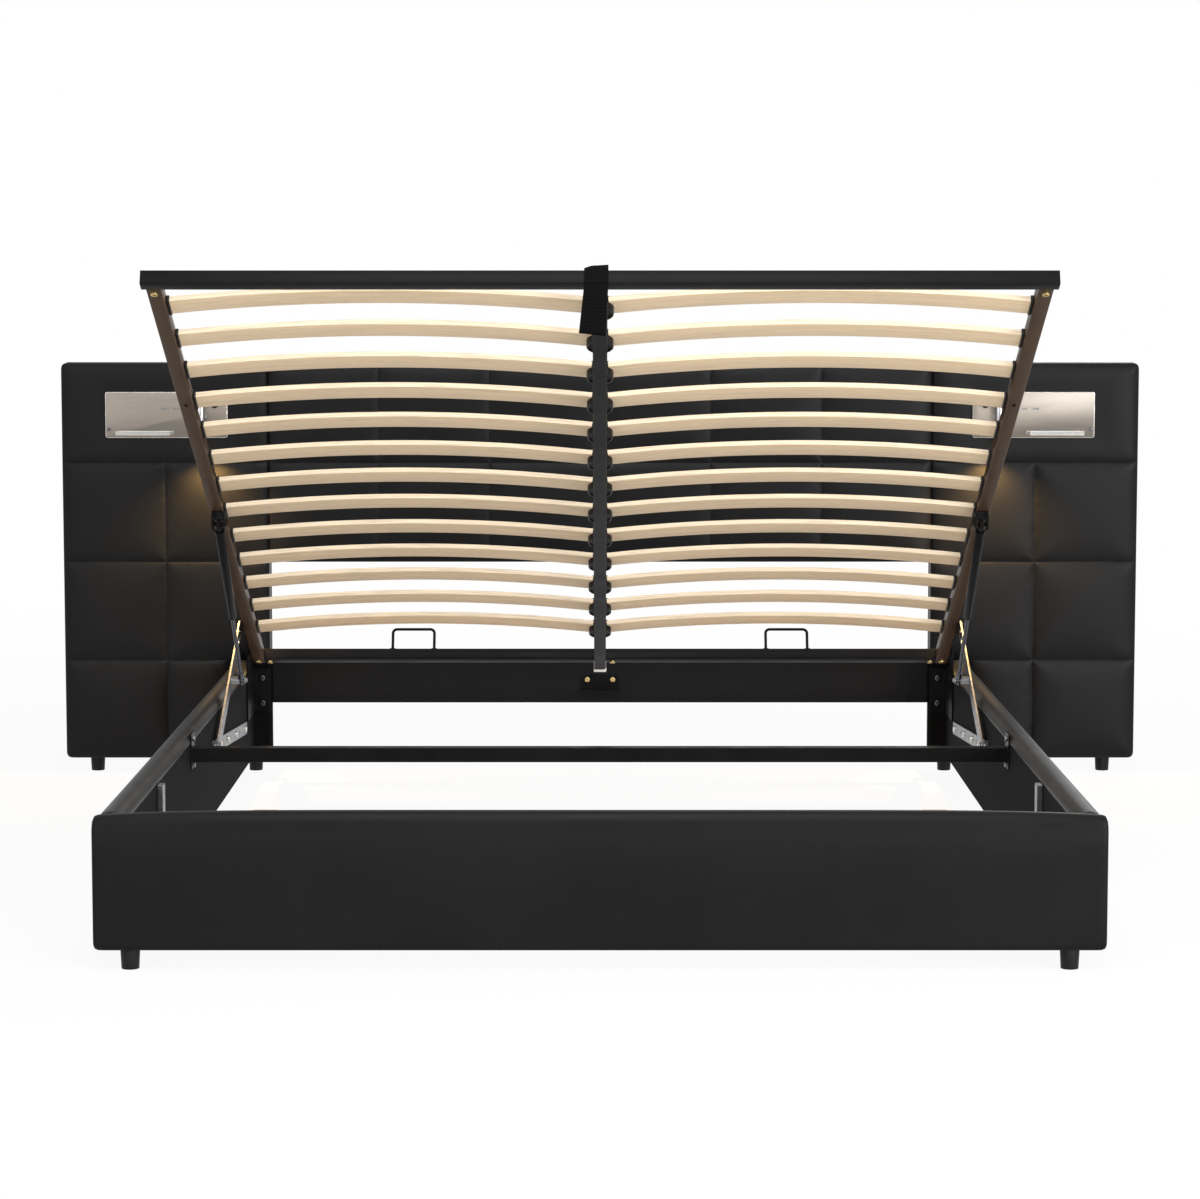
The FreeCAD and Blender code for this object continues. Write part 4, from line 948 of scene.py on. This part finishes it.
class BED_OT_pull_strap(bpy.types.Operator):
    """Webbing strap over the foot tube with a folded tail that hangs straight down"""
    bl_idname = "bed.pull_strap"
    bl_label = "Pull strap"

    def execute(self, context):
        size = sizes()
        low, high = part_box("pull_strap")
        foot = size.head_end - size.frame_length

        def lifted(y, z):
            """A place on the closed platform, turned up about the hinge."""
            c, n = HINGE.y - y, z - HINGE.z
            return (HINGE.y - c * math.cos(OPEN) + n * math.sin(OPEN),
                    HINGE.z + c * math.sin(OPEN) + n * math.cos(OPEN))
        gap = size.strap_thick / 2 + 0.2 * MM
        top, crest, tail = size.seat_height + size.tube, size.strap_crest, size.strap_tail
        back = foot + size.tube
        # Up behind the foot tube, over it in a loose fold, down its front, then the tail and its folded end.
        line = [lifted(back + gap, top - size.tube * 0.5), lifted(back + gap, top - 3 * MM),
                lifted(back - 1 * MM, top + 0.45 * crest), lifted(foot + size.tube * 0.7, top + 0.95 * crest),
                lifted(foot + size.tube * 0.35, top + crest), lifted(foot + 1 * MM, top + 0.6 * crest),
                lifted(foot - gap, top - 4 * MM), lifted(foot - gap, size.seat_height + 9 * MM),
                lifted(foot - gap, size.seat_height)]
        y, z = line[-1]
        line += [(y - 0.5 * MM, z - 0.35 * tail), (y, z - 0.7 * tail), (y, z - 0.97 * tail),
                 (y + 2 * MM, z - tail), (y + 4 * MM, z - 0.97 * tail),
                 (y + 3.4 * MM, z - 0.6 * tail), (y + 3.2 * MM, z - 0.12 * tail)]
        left, right = low.x, high.x
        strap = start("pull_strap_webbing", "plane", size=1, scale=(right - left, 1 * MM, 1),
                      location=((left + right) / 2, line[0][0], line[0][1]))
        pick(strap, "VERT", lambda v: v.co.y > line[0][0])
        bpy.ops.mesh.delete(type="VERT")
        pick(strap, "VERT", lambda v: True)
        bpy.ops.transform.translate(value=(0, 0.5 * MM, 0))
        for (y0, z0), (y1, z1) in zip(line, line[1:]):
            extrude((0, y1 - y0, z1 - z0))
        leave()
        walked = [0.0]
        for (y0, z0), (y1, z1) in zip(line, line[1:]):
            walked.append(walked[-1] + math.hypot(y1 - y0, z1 - z0))
        weave = strap.data.attributes.new("weave", "FLOAT_VECTOR", "POINT")
        for vert in strap.data.vertices:
            row = min(range(len(line)), key=lambda k: math.hypot(vert.co.y - line[k][0], vert.co.z - line[k][1]))
            weave.data[vert.index].vector = (vert.co.x, walked[row], 0)
        # The tail hangs a little askew.
        for vert in strap.data.vertices:
            drop = max(0.0, z - vert.co.z) / tail
            vert.co.x -= 9 * MM * drop * (1 if vert.co.x < (left + right) / 2 else 0.55)
            if vert.co.x > (left + right) / 2:
                vert.co.z -= 5 * MM * drop
        pick(strap, "EDGE", lambda e: runs(e, 0) and e.calc_length() > 20 * MM)
        bpy.ops.mesh.subdivide(number_cuts=5)
        leave()
        # The fold over the tube is crumpled and slopes down at its left edge.
        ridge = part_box("lift_foot_tube")[1].z
        for vert in strap.data.vertices:
            above = max(0.0, vert.co.z - ridge)
            share = (vert.co.x - left) / (right - left)
            vert.co.z -= above * 0.75 * max(0.0, 1 - share / 0.4) ** 1.5
            vert.co.z += above * 0.3 * noise.noise(vert.co * per(14))
            vert.co.y += above * 0.3 * noise.noise(vert.co * per(17))
        applied(strap, "SUBSURF", levels=2, render_levels=2)
        applied(strap, "SOLIDIFY", thickness=size.strap_thick, offset=0)
        outward(strap)
        finished(strap, "webbing", "platform", "webbing", "pull_strap", angle=50)
        return {"FINISHED"}


# Fittings.

STRIP_FALL = math.radians(4.4)  # Slope of the base strips towards the head.
STRIP_BOLTS = (95 * MM, 235 * MM, 390 * MM, 575 * MM)  # Their bolts, from the arm's pivot.
PLATE_TRIM = (6 * MM, 5 * MM)  # What the plates lose at the outer end and at the top.
TRAY_TRIM = 18 * MM  # What the trays lose at the outer end.
TRAY_EDGE = 544 * MM * MM  # Faces of a tray smaller than this are its edges, which take the painted highlight.


def bolt(radius, height):
    """A bolt head standing on the origin: domed rim and a sunk socket."""
    head = start("bolt", "cylinder", vertices=24, radius=radius, depth=height, location=(0, 0, height / 2))
    pick(head, "EDGE", lambda e: all(near(v.co.z, height) for v in e.verts))
    bpy.ops.mesh.bevel(offset=0.22 * height, segments=3, affect="EDGES")
    pick(head, "FACE", lambda f: f.normal.z > 0.95 and len(f.verts) > 8)
    bpy.ops.mesh.inset(thickness=radius * 0.38)
    extrude((0, 0, -0.6 * height))
    leave()
    return head


class BED_OT_fasteners(bpy.types.Operator):
    """Bolts and screws of the frame, brackets and boards"""
    bl_idname = "bed.fasteners"
    bl_label = "Fasteners"

    def execute(self, context):
        under = Vector((0, -math.sin(OPEN), -math.cos(OPEN)))
        sets = [
            ("frame_bolts", under, "gold", "brass", "platform"),
            ("hinge_bracket_bolts", Vector((0, -1, 0)), "rod", "brass", "base"),
            ("head_rail_screws", Vector((0, -1, 0)), "gold", "brass", "base"),
            ("headboard_plate_screws", Vector((0, 1, 0)), "zinc", "zinc_steel", "base"),
            ("cross_bar_bolts", None, "zinc", "zinc_steel", "base"),
        ]
        for node, way, material, slot, body in sets:
            places = []
            for low, high in solids(node):
                centre = (low + high) / 2
                # The band at the beam's end covers the bolt there.
                if node == "frame_bolts" and abs(centre.x) < MM:
                    continue
                aim = way if way else Vector((1 if centre.x < 0 else -1, 0, 0))
                spans = [high[k] - low[k] for k in range(3)]
                if node == "frame_bolts":
                    radius, height = 6 * MM, 4 * MM
                else:
                    thick = max(range(3), key=lambda k: abs(aim[k]))
                    height = spans[thick]
                    radius = max(spans[k] for k in range(3) if k != thick) / 2
                places.append((centre - aim * height / 2, aim))
            name = node.replace("screws", "screw_heads").replace("bolts", "bolt_heads")
            finished(copies(bolt(radius, height), name, places), material, body, slot, node, angle=35)
        # Bolts along the base strips, on the line from the arm's pivot.
        arm = next(j for j in frame["joints"] if j["name"] == "arm_swing_left")
        pivot = Vector(arm["pos_m"])
        face = abs(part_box("base_strip_left")[0].x) - 4 * MM
        places = []
        for side in (-1, 1):
            for along in STRIP_BOLTS:
                spot = (side * face, pivot.y + along * math.cos(STRIP_FALL), pivot.z - along * math.sin(STRIP_FALL))
                places.append((Vector(spot), (-side, 0, 0)))
        heads = copies(bolt(6.5 * MM, 5 * MM), "base_strip_bolt_heads", places)
        finished(heads, "bright zinc", "base", "zinc_steel", angle=35)
        # Screws that hold the trays to the plates.
        spot = PLATE_LOW + Vector((14 * MM, 0, 19 * MM))
        places = [(Vector((side * spot.x, spot.y, spot.z)), (0, -1, 0)) for side in (-1, 1)]
        heads = copies(bolt(3.6 * MM, 2.4 * MM), "tray_screw_heads", places)
        finished(heads, "rod", "base", "zinc_steel", angle=35)
        return {"FINISHED"}


class BED_OT_feet(bpy.types.Operator):
    """Tapered feet with a soft glide"""
    bl_idname = "bed.feet"
    bl_label = "Feet"

    def execute(self, context):
        for node in ("headboard_feet", "footboard_feet"):
            found = solids(node)
            low, high = found[0]
            tall, radius = high.z - low.z, (high.x - low.x) / 2
            foot = start("foot", "cone", vertices=40, radius1=radius * 0.9, radius2=radius, depth=tall,
                         location=(0, 0, tall / 2))
            pick(foot, "FACE", lambda f: f.normal.z < -0.9)
            bpy.ops.mesh.inset(thickness=2 * MM)
            extrude((0, 0, 1.5 * MM))
            bpy.ops.mesh.inset(thickness=3 * MM)
            extrude((0, 0, -1.5 * MM))
            leave()
            rounded(foot, 1.2 * MM, 3, 50)
            places = [(Vector(((a.x + b.x) / 2, (a.y + b.y) / 2, a.z)), (0, 0, 1)) for a, b in found]
            feet = copies(foot, node.replace("feet", "tapered_feet"), places)
            finished(feet, "feet", "base", "foot_plastic", node)
        return {"FINISHED"}


class BED_OT_plates(bpy.types.Operator):
    """Brushed plates with a bevelled rim"""
    bl_idname = "bed.plates"
    bl_label = "Plates"

    def execute(self, context):
        for word in ("left", "right"):
            node = "shelf_plate_" + word
            low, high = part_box(node)
            high.z -= PLATE_TRIM[1]
            if word == "left":
                low.x += PLATE_TRIM[0]
            else:
                high.x -= PLATE_TRIM[0]
            plate = block("brushed_plate_" + word, low, high)
            pick(plate, "EDGE", lambda e: runs(e, 1))
            bpy.ops.mesh.bevel(offset=5 * MM, segments=4, affect="EDGES")
            pick(plate, "EDGE", lambda e: all(near(v.co.y, low.y) for v in e.verts))
            bpy.ops.mesh.bevel(offset=1.4 * MM, segments=2, affect="EDGES")
            leave()
            front, back, rim = low.y - 5 * MM, high.y + 5 * MM, 0.4 * MM
            for a, b in solids("usb_ports"):
                if low.x < a.x < high.x:
                    piercing(block("hole", (a.x + rim, front, a.z + rim), (b.x - rim, back, b.z - rim)), plate)
            for a, b in solids("switch_bezels"):
                if low.x < a.x < high.x:
                    drill = start("hole", "cylinder", vertices=40, radius=(b.x - a.x) / 2 - 1.7 * MM, depth=14 * MM,
                                  location=((a.x + b.x) / 2, low.y, (a.z + b.z) / 2), rotation=(math.pi / 2, 0, 0))
                    piercing(drill, plate)
            finished(plate, "stainless", "base", "brushed_plate", node, angle=30)
            # The bevelled rim is real; its lighter stainless is a painted highlight.
            plate.data.materials.append(finish("polished edge"))
            for face in plate.data.polygons:
                if -0.97 < face.normal.y < -0.1:
                    face.material_index = 1
        return {"FINISHED"}


class BED_OT_sockets(bpy.types.Operator):
    """Charging sockets: a bright rim round a dark mouth"""
    bl_idname = "bed.sockets"
    bl_label = "Sockets"

    def execute(self, context):
        found = solids("usb_ports")
        low, high = found[0]
        wide, tall, deep = high.x - low.x, high.z - low.z, 8 * MM
        rim = block("rim", (-wide / 2, -tall / 2, -deep), (wide / 2, tall / 2, 0))
        pick(rim, "EDGE", lambda e: runs(e, 2))
        bpy.ops.mesh.bevel(offset=2.4 * MM, segments=4, affect="EDGES")
        pick(rim, "FACE", lambda f: f.normal.z > 0.9)
        bpy.ops.mesh.inset(thickness=0.5 * MM)
        bpy.ops.mesh.inset(thickness=2.3 * MM)
        extrude((0, 0, -6 * MM))
        leave()
        places = [(Vector(((a.x + b.x) / 2, a.y, (a.z + b.z) / 2)), (0, -1, 0)) for a, b in found]
        rims = copies(rim, "socket_rims", places)
        finished(rims, "stainless", "base", "brushed_plate", "usb_ports", angle=30)
        mouth = block("mouth", (-wide / 2 + 2.9 * MM, -tall / 2 + 2.9 * MM, -6 * MM),
                      (wide / 2 - 2.9 * MM, tall / 2 - 2.9 * MM, -0.8 * MM))
        pick(mouth, "FACE", lambda f: f.normal.z > 0.9)
        bpy.ops.mesh.inset(thickness=0.5 * MM)
        extrude((0, 0, -3 * MM))
        leave()
        finished(copies(mouth, "socket_mouths", places), "zinc", "base", "zinc_steel", angle=30)
        return {"FINISHED"}


class BED_OT_slat_fittings(bpy.types.Operator):
    """Caps on the slats' outer ends and oval holders on the centre beam"""
    bl_idname = "bed.slat_fittings"
    bl_label = "Slat fittings"

    def execute(self, context):
        size = sizes()
        low = size.seat_height + size.slat_low
        rows = slat_rows()
        inner = -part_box("lift_side_tube_left")[1].x
        wall, deep = 1.6 * MM, 5 * MM
        cap = block("cap", (-deep / 2, -size.slat_width / 2 - wall, low - wall),
                    (deep / 2, size.slat_width / 2 + wall, low + size.slat_thick + wall))
        rounded(cap, 1.3 * MM, 3)
        places = [(Vector((side * (inner - deep / 2), y, 0)), (0, 0, 1)) for side in (-1, 1) for y in rows]
        caps = swing(copies(cap, "slat_end_caps", places))
        finished(caps, "holders", "platform", "slat_plastic", "slat_caps")
        tall = size.slat_low + size.slat_thick + 2.5 * MM
        holder = start("holder", "cylinder", vertices=48, radius=1, depth=tall,
                       location=(0, 0, size.seat_height + tall / 2), scale=(23.5 * MM, 28 * MM, 1))
        pick(holder, "FACE", lambda f: f.normal.z < -0.9)
        bpy.ops.mesh.inset(thickness=4 * MM)
        extrude((0, 0, 2 * MM))
        leave()
        rounded(holder, 2.2 * MM, 3, 50)
        holders = swing(copies(holder, "lobed_slat_holders", [(Vector((0, y, 0)), (0, 0, 1)) for y in rows]))
        finished(holders, "holders", "platform", "slat_plastic", "slat_holders")
        return {"FINISHED"}


class BED_OT_lamp_domes(bpy.types.Operator):
    """Lit domes in the lamps' mouths"""
    bl_idname = "bed.lamp_domes"
    bl_label = "Lamp domes"

    def execute(self, context):
        found = solids("lamp_lenses")
        low, high = found[0]
        radius = (high.x - low.x) / 2
        dome = start("dome", "uv_sphere", segments=32, ring_count=16, radius=1, scale=(radius, radius, 12 * MM))
        worked(dome, bpy.ops.mesh.bisect, plane_co=(0, 0, 0), plane_no=(0, 0, 1), use_fill=True, clear_outer=True)
        places = [(Vector(((a.x + b.x) / 2, (a.y + b.y) / 2, b.z)), (0, 0, 1)) for a, b in found]
        domes = outward(copies(dome, "lit_lamp_domes", places))
        finished(domes, "lens", "base", "lamp_diffuser", "lamp_lenses")
        return {"FINISHED"}


class BED_OT_trays(bpy.types.Operator):
    """Clear trays folded from sheet, with rounded edges"""
    bl_idname = "bed.trays"
    bl_label = "Trays"

    def execute(self, context):
        made = []
        thick = 4 * MM
        for low, high in solids("phone_shelves"):
            if low.x < 0:
                low.x += TRAY_TRIM
            else:
                high.x -= TRAY_TRIM
            tray = block("tray", low, (high.x, high.y, low.z + thick))
            for y in (low.y + thick, high.y - thick):
                worked(tray, bpy.ops.mesh.bisect, plane_co=(0, y, 0), plane_no=(0, 1, 0))
            pick(tray, "FACE", lambda f: f.normal.z > 0.9 and f.calc_center_median().y > high.y - thick)
            extrude((0, 0, 3 * MM))
            pick(tray, "FACE", lambda f: f.normal.z > 0.9 and f.calc_center_median().y < low.y + thick)
            extrude((0, 0, 6 * MM))
            merge(0.01 * MM)
            leave()
            rounded(tray, 1.1 * MM, 3)
            made.append(tray)
        trays = outward(joined(made, "clear_trays"))
        finished(trays, "acrylic", "base", "clear_acrylic", "phone_shelves", angle=30)
        # The edge faces get a whiter, less clear acrylic: a painted highlight.
        trays.data.materials.append(finish("acrylic edge with painted highlight"))
        for face in trays.data.polygons:
            if face.area < TRAY_EDGE:
                face.material_index = 1
        return {"FINISHED"}


# Finishes of the CAD nodes that stay: material, edge radius in millimetres, and the nodes.
KEPT = (
    ("lining", 8, ("headboard_wing_board_left", "headboard_wing_board_right")),
    ("lining", 1.5, ("headboard_centre_board",)),
    ("lining", 0, ("side_rail_board_left", "side_rail_board_right")),
    ("leather", 0, ("footboard_board",)),
    ("leather", 2.5, ("head_rail",)),
    ("paint", 0, ("mattress_stops",)),
    ("paint", 0.5, ("headboard_joining_plates", "strut_bracket_left", "strut_bracket_right")),
    ("paint", 0.6, ("head_rail_bracket", "hinge_bracket_left", "hinge_bracket_right", "strut_tube_left",
                    "strut_tube_right", "lift_hinge_plate_left", "lift_hinge_plate_right")),
    ("paint", 0.8, ("cross_bar",)),
    ("zinc", 1, ("rail_battens",)),
    ("zinc", 0.6, ("base_strip_left", "base_strip_right", "support_arm_left", "support_arm_right")),
    ("rod", 0.4, ("strut_rod_left", "strut_rod_right")),
    ("pine", 1.5, ("platform_rest_blocks",)),
    ("stainless", 0.4, ("switch_bezels",)),
    ("feet", 0.6, ("switch_button_left", "switch_button_right")),
    ("chrome", 0.5, ("lamp_bodies",)),
)


class BED_OT_kept_finishes(bpy.types.Operator):
    """Materials and soft edges of the CAD nodes that stay in view"""
    bl_idname = "bed.kept_finishes"
    bl_label = "Finishes"

    def execute(self, context):
        for material, radius, node in [(m, r, node) for m, r, nodes in KEPT for node in nodes]:
            obj = frame["nodes"][node]
            obj.data.materials.clear()
            obj.data.materials.append(finish(material))
            if radius:
                weld = obj.modifiers.new("Weld", "WELD")
                weld.merge_threshold = 0.01 * MM
                flat = obj.modifiers.new("Flat", "DECIMATE")
                flat.decimate_type = "DISSOLVE"
                flat.angle_limit = math.radians(0.5)
                edge = obj.modifiers.new("Edge", "BEVEL")
                edge.width = radius * MM
                edge.segments = 2
                edge.limit_method = "ANGLE"
                edge.angle_limit = math.radians(40)
        return {"FINISHED"}


# Studio.

def seen(tree):
    """1 for rays that show the background: straight, mirrored or through glass."""
    path = add(tree, "LightPath").outputs
    shown = add(tree, "Math", {0: path["Is Camera Ray"], 1: path["Is Transmission Ray"]}, operation="MAXIMUM")
    return add(tree, "Math", {0: shown, 1: path["Is Glossy Ray"]}, operation="MAXIMUM")


class BED_OT_studio(bpy.types.Operator):
    """Pale floor, soft lights and the camera"""
    bl_idname = "bed.studio"
    bl_label = "Studio"

    def execute(self, context):
        scene = context.scene
        scene.view_settings.view_transform = "Standard"
        floor = start("floor", "plane", size=60)
        material, tree = begin("pale studio floor", {"Base Color": hex_colour("#ededed") + (1.0,), "Roughness": 0.9})
        white = add(tree, "Emission", {"Color": (1, 1, 1, 1), "Strength": 1.0})
        # White to the eye, with a share of the shadow near the bed and none at the far edge.
        place = add(tree, "TexCoord").outputs["Object"]
        away = add(tree, "VectorMath", {0: place}, operation="LENGTH")
        paper = add(tree, "MapRange", {"Value": away.outputs["Value"], "From Min": 1.8, "From Max": 5.0,
                                       "To Min": 0.92, "To Max": 1.0})
        share = add(tree, "Math", {0: seen(tree), 1: paper}, operation="MULTIPLY")
        mix = add(tree, "MixShader", {0: share, 1: tree.nodes["Principled BSDF"], 2: white})
        tree.links.new(mix.outputs[0], tree.nodes["Material Output"].inputs["Surface"])
        floor.data.materials.append(material)

        world = bpy.data.worlds.new("studio")
        scene.world = world
        world.use_nodes = True
        tree = world.node_tree
        level = add(tree, "MapRange", {"Value": seen(tree), "To Min": 0.32, "To Max": 1.0})
        sky = tree.nodes["Background"]
        sky.inputs["Color"].default_value = (1, 1, 1, 1)
        tree.links.new(level.outputs[0], sky.inputs["Strength"])

        def lamp(name, kind, place, aim, energy, tint=(1, 1, 1), **settings):
            """Add a light that shines from a place at another."""
            data = bpy.data.lights.new(name, kind)
            data.energy = energy
            data.color = tint
            for key, value in settings.items():
                setattr(data, key, value)
            light = bpy.data.objects.new(name, data)
            light.location = place
            light.rotation_euler = (Vector(aim) - Vector(place)).to_track_quat("-Z", "Y").to_euler()
            scene.collection.objects.link(light)
            return light
        cool, cream = (0.96, 0.98, 1), (1, 0.93, 0.84)
        lamp("key softbox", "AREA", (4.2, -3.8, 2.4), (0.3, 0.4, 0.4), 185, size=2.8)
        lamp("fill softbox", "AREA", (-3.2, -3.6, 2.0), (0, 0.2, 0.4), 28, size=2.4)
        lamp("top softbox", "AREA", (0, 0.4, 4.2), (0, 0.3, 0), 22, size=3.4)
        lamp("front softbox", "AREA", (0, -2.9, 3.5), (0, -1.0, 0.3), 75, cool, size=1.6)
        lamp("back softbox", "AREA", (1.6, 5.2, 2.4), (0, 1.0, 0.5), 70, size=2.6)
        lamp("low softbox", "AREA", (0, -4.6, 0.5), (0, 0, 0.6), 24, (1, 0.94, 0.86), shape="RECTANGLE",
             size=3.4, size_y=0.7)
        lamp("side softbox", "AREA", (2.8, -4.4, 0.9), (1.0, 1.0, 0.5), 66, (0.94, 0.97, 1), size=1.4)
        for name, place, aim, power, across, deep in (("bounce card", (0, 0, 0.03), (0, 0, 1), 1.2, 1.45, 1.9),
                                                      ("floor card", (0, -2.4, 0.04), (0, -0.4, 1), 7, 3.0, 0.7)):
            card = lamp(name, "AREA", place, aim, power, cream, shape="RECTANGLE", size=across, size_y=deep)
            card.visible_camera = card.visible_glossy = card.visible_transmission = False
        # The reading lamps throw a wide glow on the wings and a narrow one on the head ends of the rails.
        warm = tuple(scene.bed_colours.lamp)
        ahead, inward, under = 45 * MM, 18 * MM, 16 * MM
        for k, (low, high) in enumerate(solids("lamp_lenses")):
            spot = (low + high) / 2
            spot.z = low.z - under
            spot.y -= ahead
            spot.x -= math.copysign(inward, spot.x)
            wing = spot + Vector((0, 0.02, -1))
            rail = Vector((math.copysign(RAIL_HIGH.x, spot.x), 0.92, RAIL_HIGH.z))
            for word, aim, power, cone in (("wide", wing, 16, 128), ("narrow", rail, 45, 28)):
                lamp("reading lamp %s %d" % (word, k), "SPOT", spot, aim, power, warm,
                     spot_size=math.radians(cone), spot_blend=0.8, shadow_soft_size=8 * MM)

        data = bpy.data.cameras.new("camera")
        data.sensor_width = 36
        data.lens = 103.9
        data.clip_end = 100
        camera = bpy.data.objects.new("camera", data)
        camera.location = (0, -6.5716, 1.152)
        camera.rotation_euler = (math.radians(90 - 5.762), 0, 0)
        scene.collection.objects.link(camera)
        scene.camera = camera
        return {"FINISHED"}


OPERATORS = (
    BED_OT_headboard_pads, BED_OT_rail_pads, BED_OT_slats, BED_OT_frame_tubes, BED_OT_beam_band,
    BED_OT_pull_strap, BED_OT_fasteners, BED_OT_feet, BED_OT_plates, BED_OT_sockets, BED_OT_slat_fittings,
    BED_OT_lamp_domes, BED_OT_trays, BED_OT_kept_finishes, BED_OT_studio,
)


class BED_PT_parts(bpy.types.Panel):
    """Lists the bed's pieces in the sidebar"""
    bl_idname = "BED_PT_parts"
    bl_label = "Storage bed"
    bl_space_type = "VIEW_3D"
    bl_region_type = "UI"
    bl_category = "Bed"

    def draw(self, context):
        for operator in OPERATORS:
            self.layout.operator(operator.bl_idname)
        for group in (context.scene.bed_sizes, context.scene.bed_colours):
            for key in group.__annotations__:
                self.layout.prop(group, key)


CLASSES = (BedSizes, BedColours) + OPERATORS + (BED_PT_parts,)


def register():
    for cls in CLASSES:
        bpy.utils.register_class(cls)
    bpy.types.Scene.bed_sizes = bpy.props.PointerProperty(type=BedSizes)
    bpy.types.Scene.bed_colours = bpy.props.PointerProperty(type=BedColours)


def unregister():
    del bpy.types.Scene.bed_colours
    del bpy.types.Scene.bed_sizes
    for cls in reversed(CLASSES):
        bpy.utils.unregister_class(cls)


def main():
    register()
    for operator in OPERATORS:
        group, name = operator.bl_idname.split(".")
        getattr(getattr(bpy.ops, group), name)()


if __name__ == "__main__":
    main()
